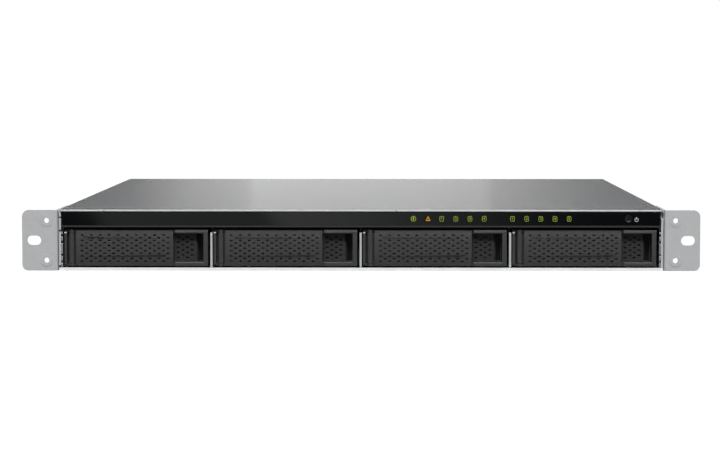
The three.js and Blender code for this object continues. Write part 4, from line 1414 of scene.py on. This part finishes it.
@dataclass
class Rear:
    """What shows at the back: sockets, slot cover, power supply, and the pieces inside.

    Attributes:
        lan_x: Middles of the network sockets.
        usb_x: Middle of the USB sockets.
        usb_z: Middles of the two USB openings.
        fan: X and Z of the power supply's fan axis.
        grille_y: Y of the middle of the grille's wires.
        rings: Radii of the grille's rings.
        wire: Radius of its wire.
        contact: The first contact of a network socket, its X from the socket's middle.
        contact_pitch: Distance between contacts.
        contact_drop: How much lower its front end is than its rear end.
        lamp: The first lamp of a network socket, its X from the socket's middle.
        lamp_pitch: Distance from the green lamp to the amber one.
        tongue: A USB socket's tongue, its X from the socket's middle and its Z from the opening's.
    """

    lan_x: Span = (-62.8, -47.2)
    usb_x: float = 5.0
    usb_z: Span = (13.6, 21.2)
    fan: Span = (188.5, 21.9)
    grille_y: float = 480.2
    rings: tuple[float, ...] = (4.2, 8.2, 12.2, 16.2)
    wire: float = 0.55
    contact: Box = ((-3.7, -3.3), (468.5, 478), (18.8, 19.1))
    contact_pitch: float = 1.02
    contact_drop: float = 2.2
    lamp: Box = ((-6.9, -4.2), (479.5, 481.78), (21.0, 22.6))
    lamp_pitch: float = 11.1
    tongue: Box = ((-5.4, 5.4), (469.9, 480.2), (0.1, 1.9))

    def build(self) -> None:
        """Builds and dresses the back and the inside."""
        self.sockets()
        self.supply()
        remade("slot_cover", "slot_plate", ZINC_SHEET, 0.15)
        dress(SOLDER_MASK, "backplane", "mainboard", "memory_module")
        dress(EXTRUDED_ALUMINIUM, "heat_sink")
        dress(BLACK_NYLON, "psu_fan_rotor")
        for number in (1, 2, 3):
            dress(BLACK_NYLON, f"fan_frame_{number}", f"fan_rotor_{number}")

    def sockets(self) -> None:
        """Network and USB sockets with their contacts, lamps and tongues."""
        remade("lan_ports", "network_sockets", NICKEL, 0.2)
        remade("usb_ports", "usb_sockets", NICKEL, 0.2)
        next_socket = (self.lan_x[1] - self.lan_x[0], 0, 0)
        contact = moved_box("network_contacts", self.contact, self.lan_x[0])
        with editing(contact):
            rear = spot(0, 477, 0).y
            choose(contact, "VERT", lambda v: v.co.y < rear)
            bpy.ops.transform.translate(value=(0, 0, -self.contact_drop * MM))
        repeated(contact, (8, 1, 1), (self.contact_pitch, 0, 0))
        contacts = joined("network_contacts", contact, copied(contact, "contacts", next_socket))
        hand_over(contacts, GOLD_FLASH)
        lamp = rounded(moved_box("lamp", self.lamp, self.lan_x[0]), 0.2)
        green = [lamp, copied(lamp, "lamp", next_socket)]
        amber = [copied(one, "lamp", (self.lamp_pitch, 0, 0)) for one in green]
        hand_over(joined("link_lamps", *green), GREEN_GLOW)
        hand_over(joined("speed_lamps", *amber), ORANGE_GLOW)
        tongues = [rounded(moved_box("usb_tongues", self.tongue, self.usb_x, z), 0.3) for z in self.usb_z]
        hand_over(joined("usb_tongues", *tongues), BLUE_TONGUE)

    def supply(self) -> None:
        """The power supply: its case, inlet and wire grille."""
        remade("psu_case", "supply_case", ZINC_SHEET, 0.2)
        remade("power_inlet", "mains_inlet", BLACK_NYLON, 0.3)
        x, z = self.fan
        middle = spot(x, self.grille_y, z)
        wires = []
        for radius in self.rings:
            ring = primitive(
                "grille_wires", bpy.ops.mesh.primitive_torus_add, location=middle, rotation=UPRIGHT,
                major_radius=radius * MM, minor_radius=self.wire * MM, major_segments=64, minor_segments=10,
            )
            wires.append(smoothed(ring))
        reach = (x + self.rings[0] - 0.2, x + self.rings[-1])
        spoke = rounded(rod("spoke", "x", self.wire, (self.grille_y, z), reach, 10), 0.1)
        for turn in (1, 3, 5, 7):
            other = copied(spoke, "spoke")
            with editing(other):
                bpy.ops.transform.rotate(value=turn * math.pi / 4, orient_axis="Y", center_override=middle)
            wires.append(other)
        bpy.data.objects.remove(spoke)
        hand_over(joined("grille_wires", *wires), NICKEL)


@dataclass
class Studio:
    """Pale floor, soft light and the camera. None of it belongs to the object.

    Attributes:
        camera_at: Where the camera stands, in metres.
        camera_turn: Its turn about X and Z, in degrees.
        lens: Focal length for a 36 mm wide sensor.
        lamp_at: Where the lamp hangs, in metres.
        lamp_size: Its width and height, in metres.
        lamp_power: Its power, in watts.
        sky: Brightness of the upper half of the room for diffuse light.
        ground: Brightness of its lower half.
        card: Brightness of the card high up that only reflections show.
        floor_color: sRGB colour of the floor.
    """

    camera_at: tuple[float, float, float] = (0.01814, -1.95764, 0.14421)
    camera_turn: Span = (86.2874, 0.6205)
    lens: float = 120.98
    lamp_at: tuple[float, float, float] = (0.0, -2.45, 2.06)
    lamp_size: Span = (2.0, 0.7)
    lamp_power: float = 134.0
    sky: float = 0.15
    ground: float = 0.04
    card: float = 8.0
    floor_color: str = "#8F8F8F"

    def build(self) -> None:
        """Sets up the studio."""
        scene = bpy.context.scene
        scene.view_settings.view_transform = "Standard"
        self.camera(scene)
        self.lamps()
        self.world(scene)
        self.floor()

    def camera(self, scene: bpy.types.Scene) -> None:
        """The camera at the photograph's place.

        Args:
            scene: The scene that is seen through it.
        """
        turn = (math.radians(self.camera_turn[0]), 0, math.radians(self.camera_turn[1]))
        bpy.ops.object.camera_add(location=self.camera_at, rotation=turn)
        camera = bpy.context.active_object
        camera.data.lens = self.lens
        camera.data.sensor_width = 36
        scene.camera = camera

    def lamps(self) -> None:
        """A broad soft lamp ahead of the object and above it."""
        bpy.ops.object.light_add(type="AREA", location=self.lamp_at)
        lamp = bpy.context.active_object
        lamp.name = "front_lamp"
        lamp.data.shape = "RECTANGLE"
        lamp.data.size, lamp.data.size_y = self.lamp_size
        lamp.data.energy = self.lamp_power
        aim = Vector((0, 0, 0.02)) - Vector(self.lamp_at)
        lamp.rotation_euler = aim.to_track_quat("-Z", "Y").to_euler()
        lamp.visible_glossy = False

    def glow(self, tree: Tree, degrees: Socket, stops: Sequence[Span]) -> Socket:
        """Brightness of the room's wall by direction.

        Args:
            tree: The world's node tree.
            degrees: The direction's angle socket.
            stops: Pairs of an angle in degrees and a brightness.

        Returns:
            The brightness socket.
        """
        first, last = stops[0][0], stops[-1][0]
        ramp = add(tree, "ValToRGB", {"Fac": ranged(tree, degrees, (first, last))})
        elements = ramp.color_ramp.elements
        while len(elements) < len(stops):
            elements.new(0.5)
        for element, (angle, level) in zip(elements, stops):
            element.position = (angle - first) / (last - first)
            element.color = (level, level, level, 1)
        return ramp.outputs["Color"]

    def world(self, scene: bpy.types.Scene) -> None:
        """White to the camera, a plain grey room for diffuse light, and softboxes for reflections.

        Args:
            scene: The scene that it lights.
        """
        world = bpy.data.worlds.new("studio")
        scene.world = world
        tree = cleared(world)
        x, y, z = add(tree, "SeparateXYZ", {0: add(tree, "TexCoord").outputs["Generated"]}).outputs
        degrees = computed(tree, "DEGREES", computed(tree, "ARCSINE", x))
        # Behind the object: a softbox a few degrees wide in a glow that fades to both sides
        back = self.glow(tree, degrees, (
            (-10, 0.05), (-7.2, 0.064), (-6.05, 0.111), (-5.34, 0.218), (-4.63, 0.332), (-3.92, 0.40),
            (-3.28, 0.46), (-3.14, 0.585), (-1.8, 0.56), (0.33, 0.53), (1.04, 0.513), (1.74, 0.474),
            (2.32, 0.452), (2.54, 0.34), (3.16, 0.276), (3.86, 0.212), (4.57, 0.15), (5.27, 0.107),
            (6.2, 0.076), (10, 0.07)))
        fall = ranged(tree, z, (0.03, 0.065), (1.58, 0.52))
        back = add(tree, "VectorMath", {"operation": "SCALE", "Vector": back, "Scale": fall}).outputs[0]
        # Ahead of it: two cards side by side, the right one brighter and fading
        front = self.glow(tree, computed(tree, "MULTIPLY_ADD", z, 0.20, degrees), (
            (-10, 0.03), (-6.95, 0.03), (-6.75, 0.46), (-5.0, 0.37), (-2.72, 0.29), (-2.60, 0.90),
            (-2.04, 0.75), (-0.62, 0.60), (0.33, 0.435), (1.27, 0.33), (2.22, 0.25), (3.17, 0.14),
            (4.12, 0.07), (5.06, 0.04), (10, 0.03)))
        # Over them a bright card high up, dark ground below, and the studio's walls at the sides
        card = (self.card, self.card, self.card, 1)
        front = mixed(tree, ranged(tree, z, (0.45, 0.75)), front, card)
        front = mixed(tree, ranged(tree, z, (-0.50, -0.75)), front, (0.05, 0.05, 0.05, 1))
        wall = ranged(tree, x, (-0.4, 0.4), (0.25, 0.5))
        side = ranged(tree, computed(tree, "ABSOLUTE", x), (0.18, 0.40))
        around = mixed(tree, computed(tree, "GREATER_THAN", y, 0.0), front, back)
        around = mixed(tree, side, around, wall)
        around = mixed(tree, ranged(tree, z, (0.70, 0.85)), around, card)
        room = ranged(tree, z, (-0.15, 0.35), (self.ground, self.sky))
        path = add(tree, "LightPath").outputs
        seen = computed(tree, "MAXIMUM", path["Is Camera Ray"], path["Is Transmission Ray"])
        color = mixed(tree, seen, mixed(tree, path["Is Glossy Ray"], room, around), (1, 1, 1, 1))
        light = add(tree, "Background", {"Strength": 1.0, "Color": color}).outputs[0]
        add(tree, "OutputWorld", {"Surface": light})

    def floor(self) -> None:
        """The pale floor: white to the camera but for the object's soft shadow."""
        floor = primitive("floor", bpy.ops.mesh.primitive_plane_add, size=60)
        material = bpy.data.materials.new("pale_floor")
        tree = cleared(material)
        matt = add(tree, "BsdfDiffuse", {"Color": linear(self.floor_color)}).outputs[0]
        place = add(tree, "TexCoord").outputs["Object"]
        far = add(tree, "VectorMath", {"operation": "LENGTH", 0: place}).outputs["Value"]
        strength = ranged(tree, far, (0.5, 2.0), (0.80, 1.05))
        lift = computed(tree, "MULTIPLY", add(tree, "LightPath").outputs["Is Camera Ray"], strength)
        light = add(tree, "Emission", {"Color": (1, 1, 1, 1), "Strength": lift}).outputs[0]
        both = add(tree, "AddShader", {0: matt, 1: light}).outputs[0]
        add(tree, "OutputMaterial", {"Surface": both})
        floor.data.materials.append(material)
        floor.visible_glossy = False


def main() -> None:
    """Builds the enclosure's looks and the studio."""
    logging.basicConfig(level=logging.INFO, format="%(name)s: %(message)s")
    Studio().build()
    Chassis().build()
    Bezel().build()
    Tray().build()
    Rear().build()


if __name__ == "__main__":
    main()
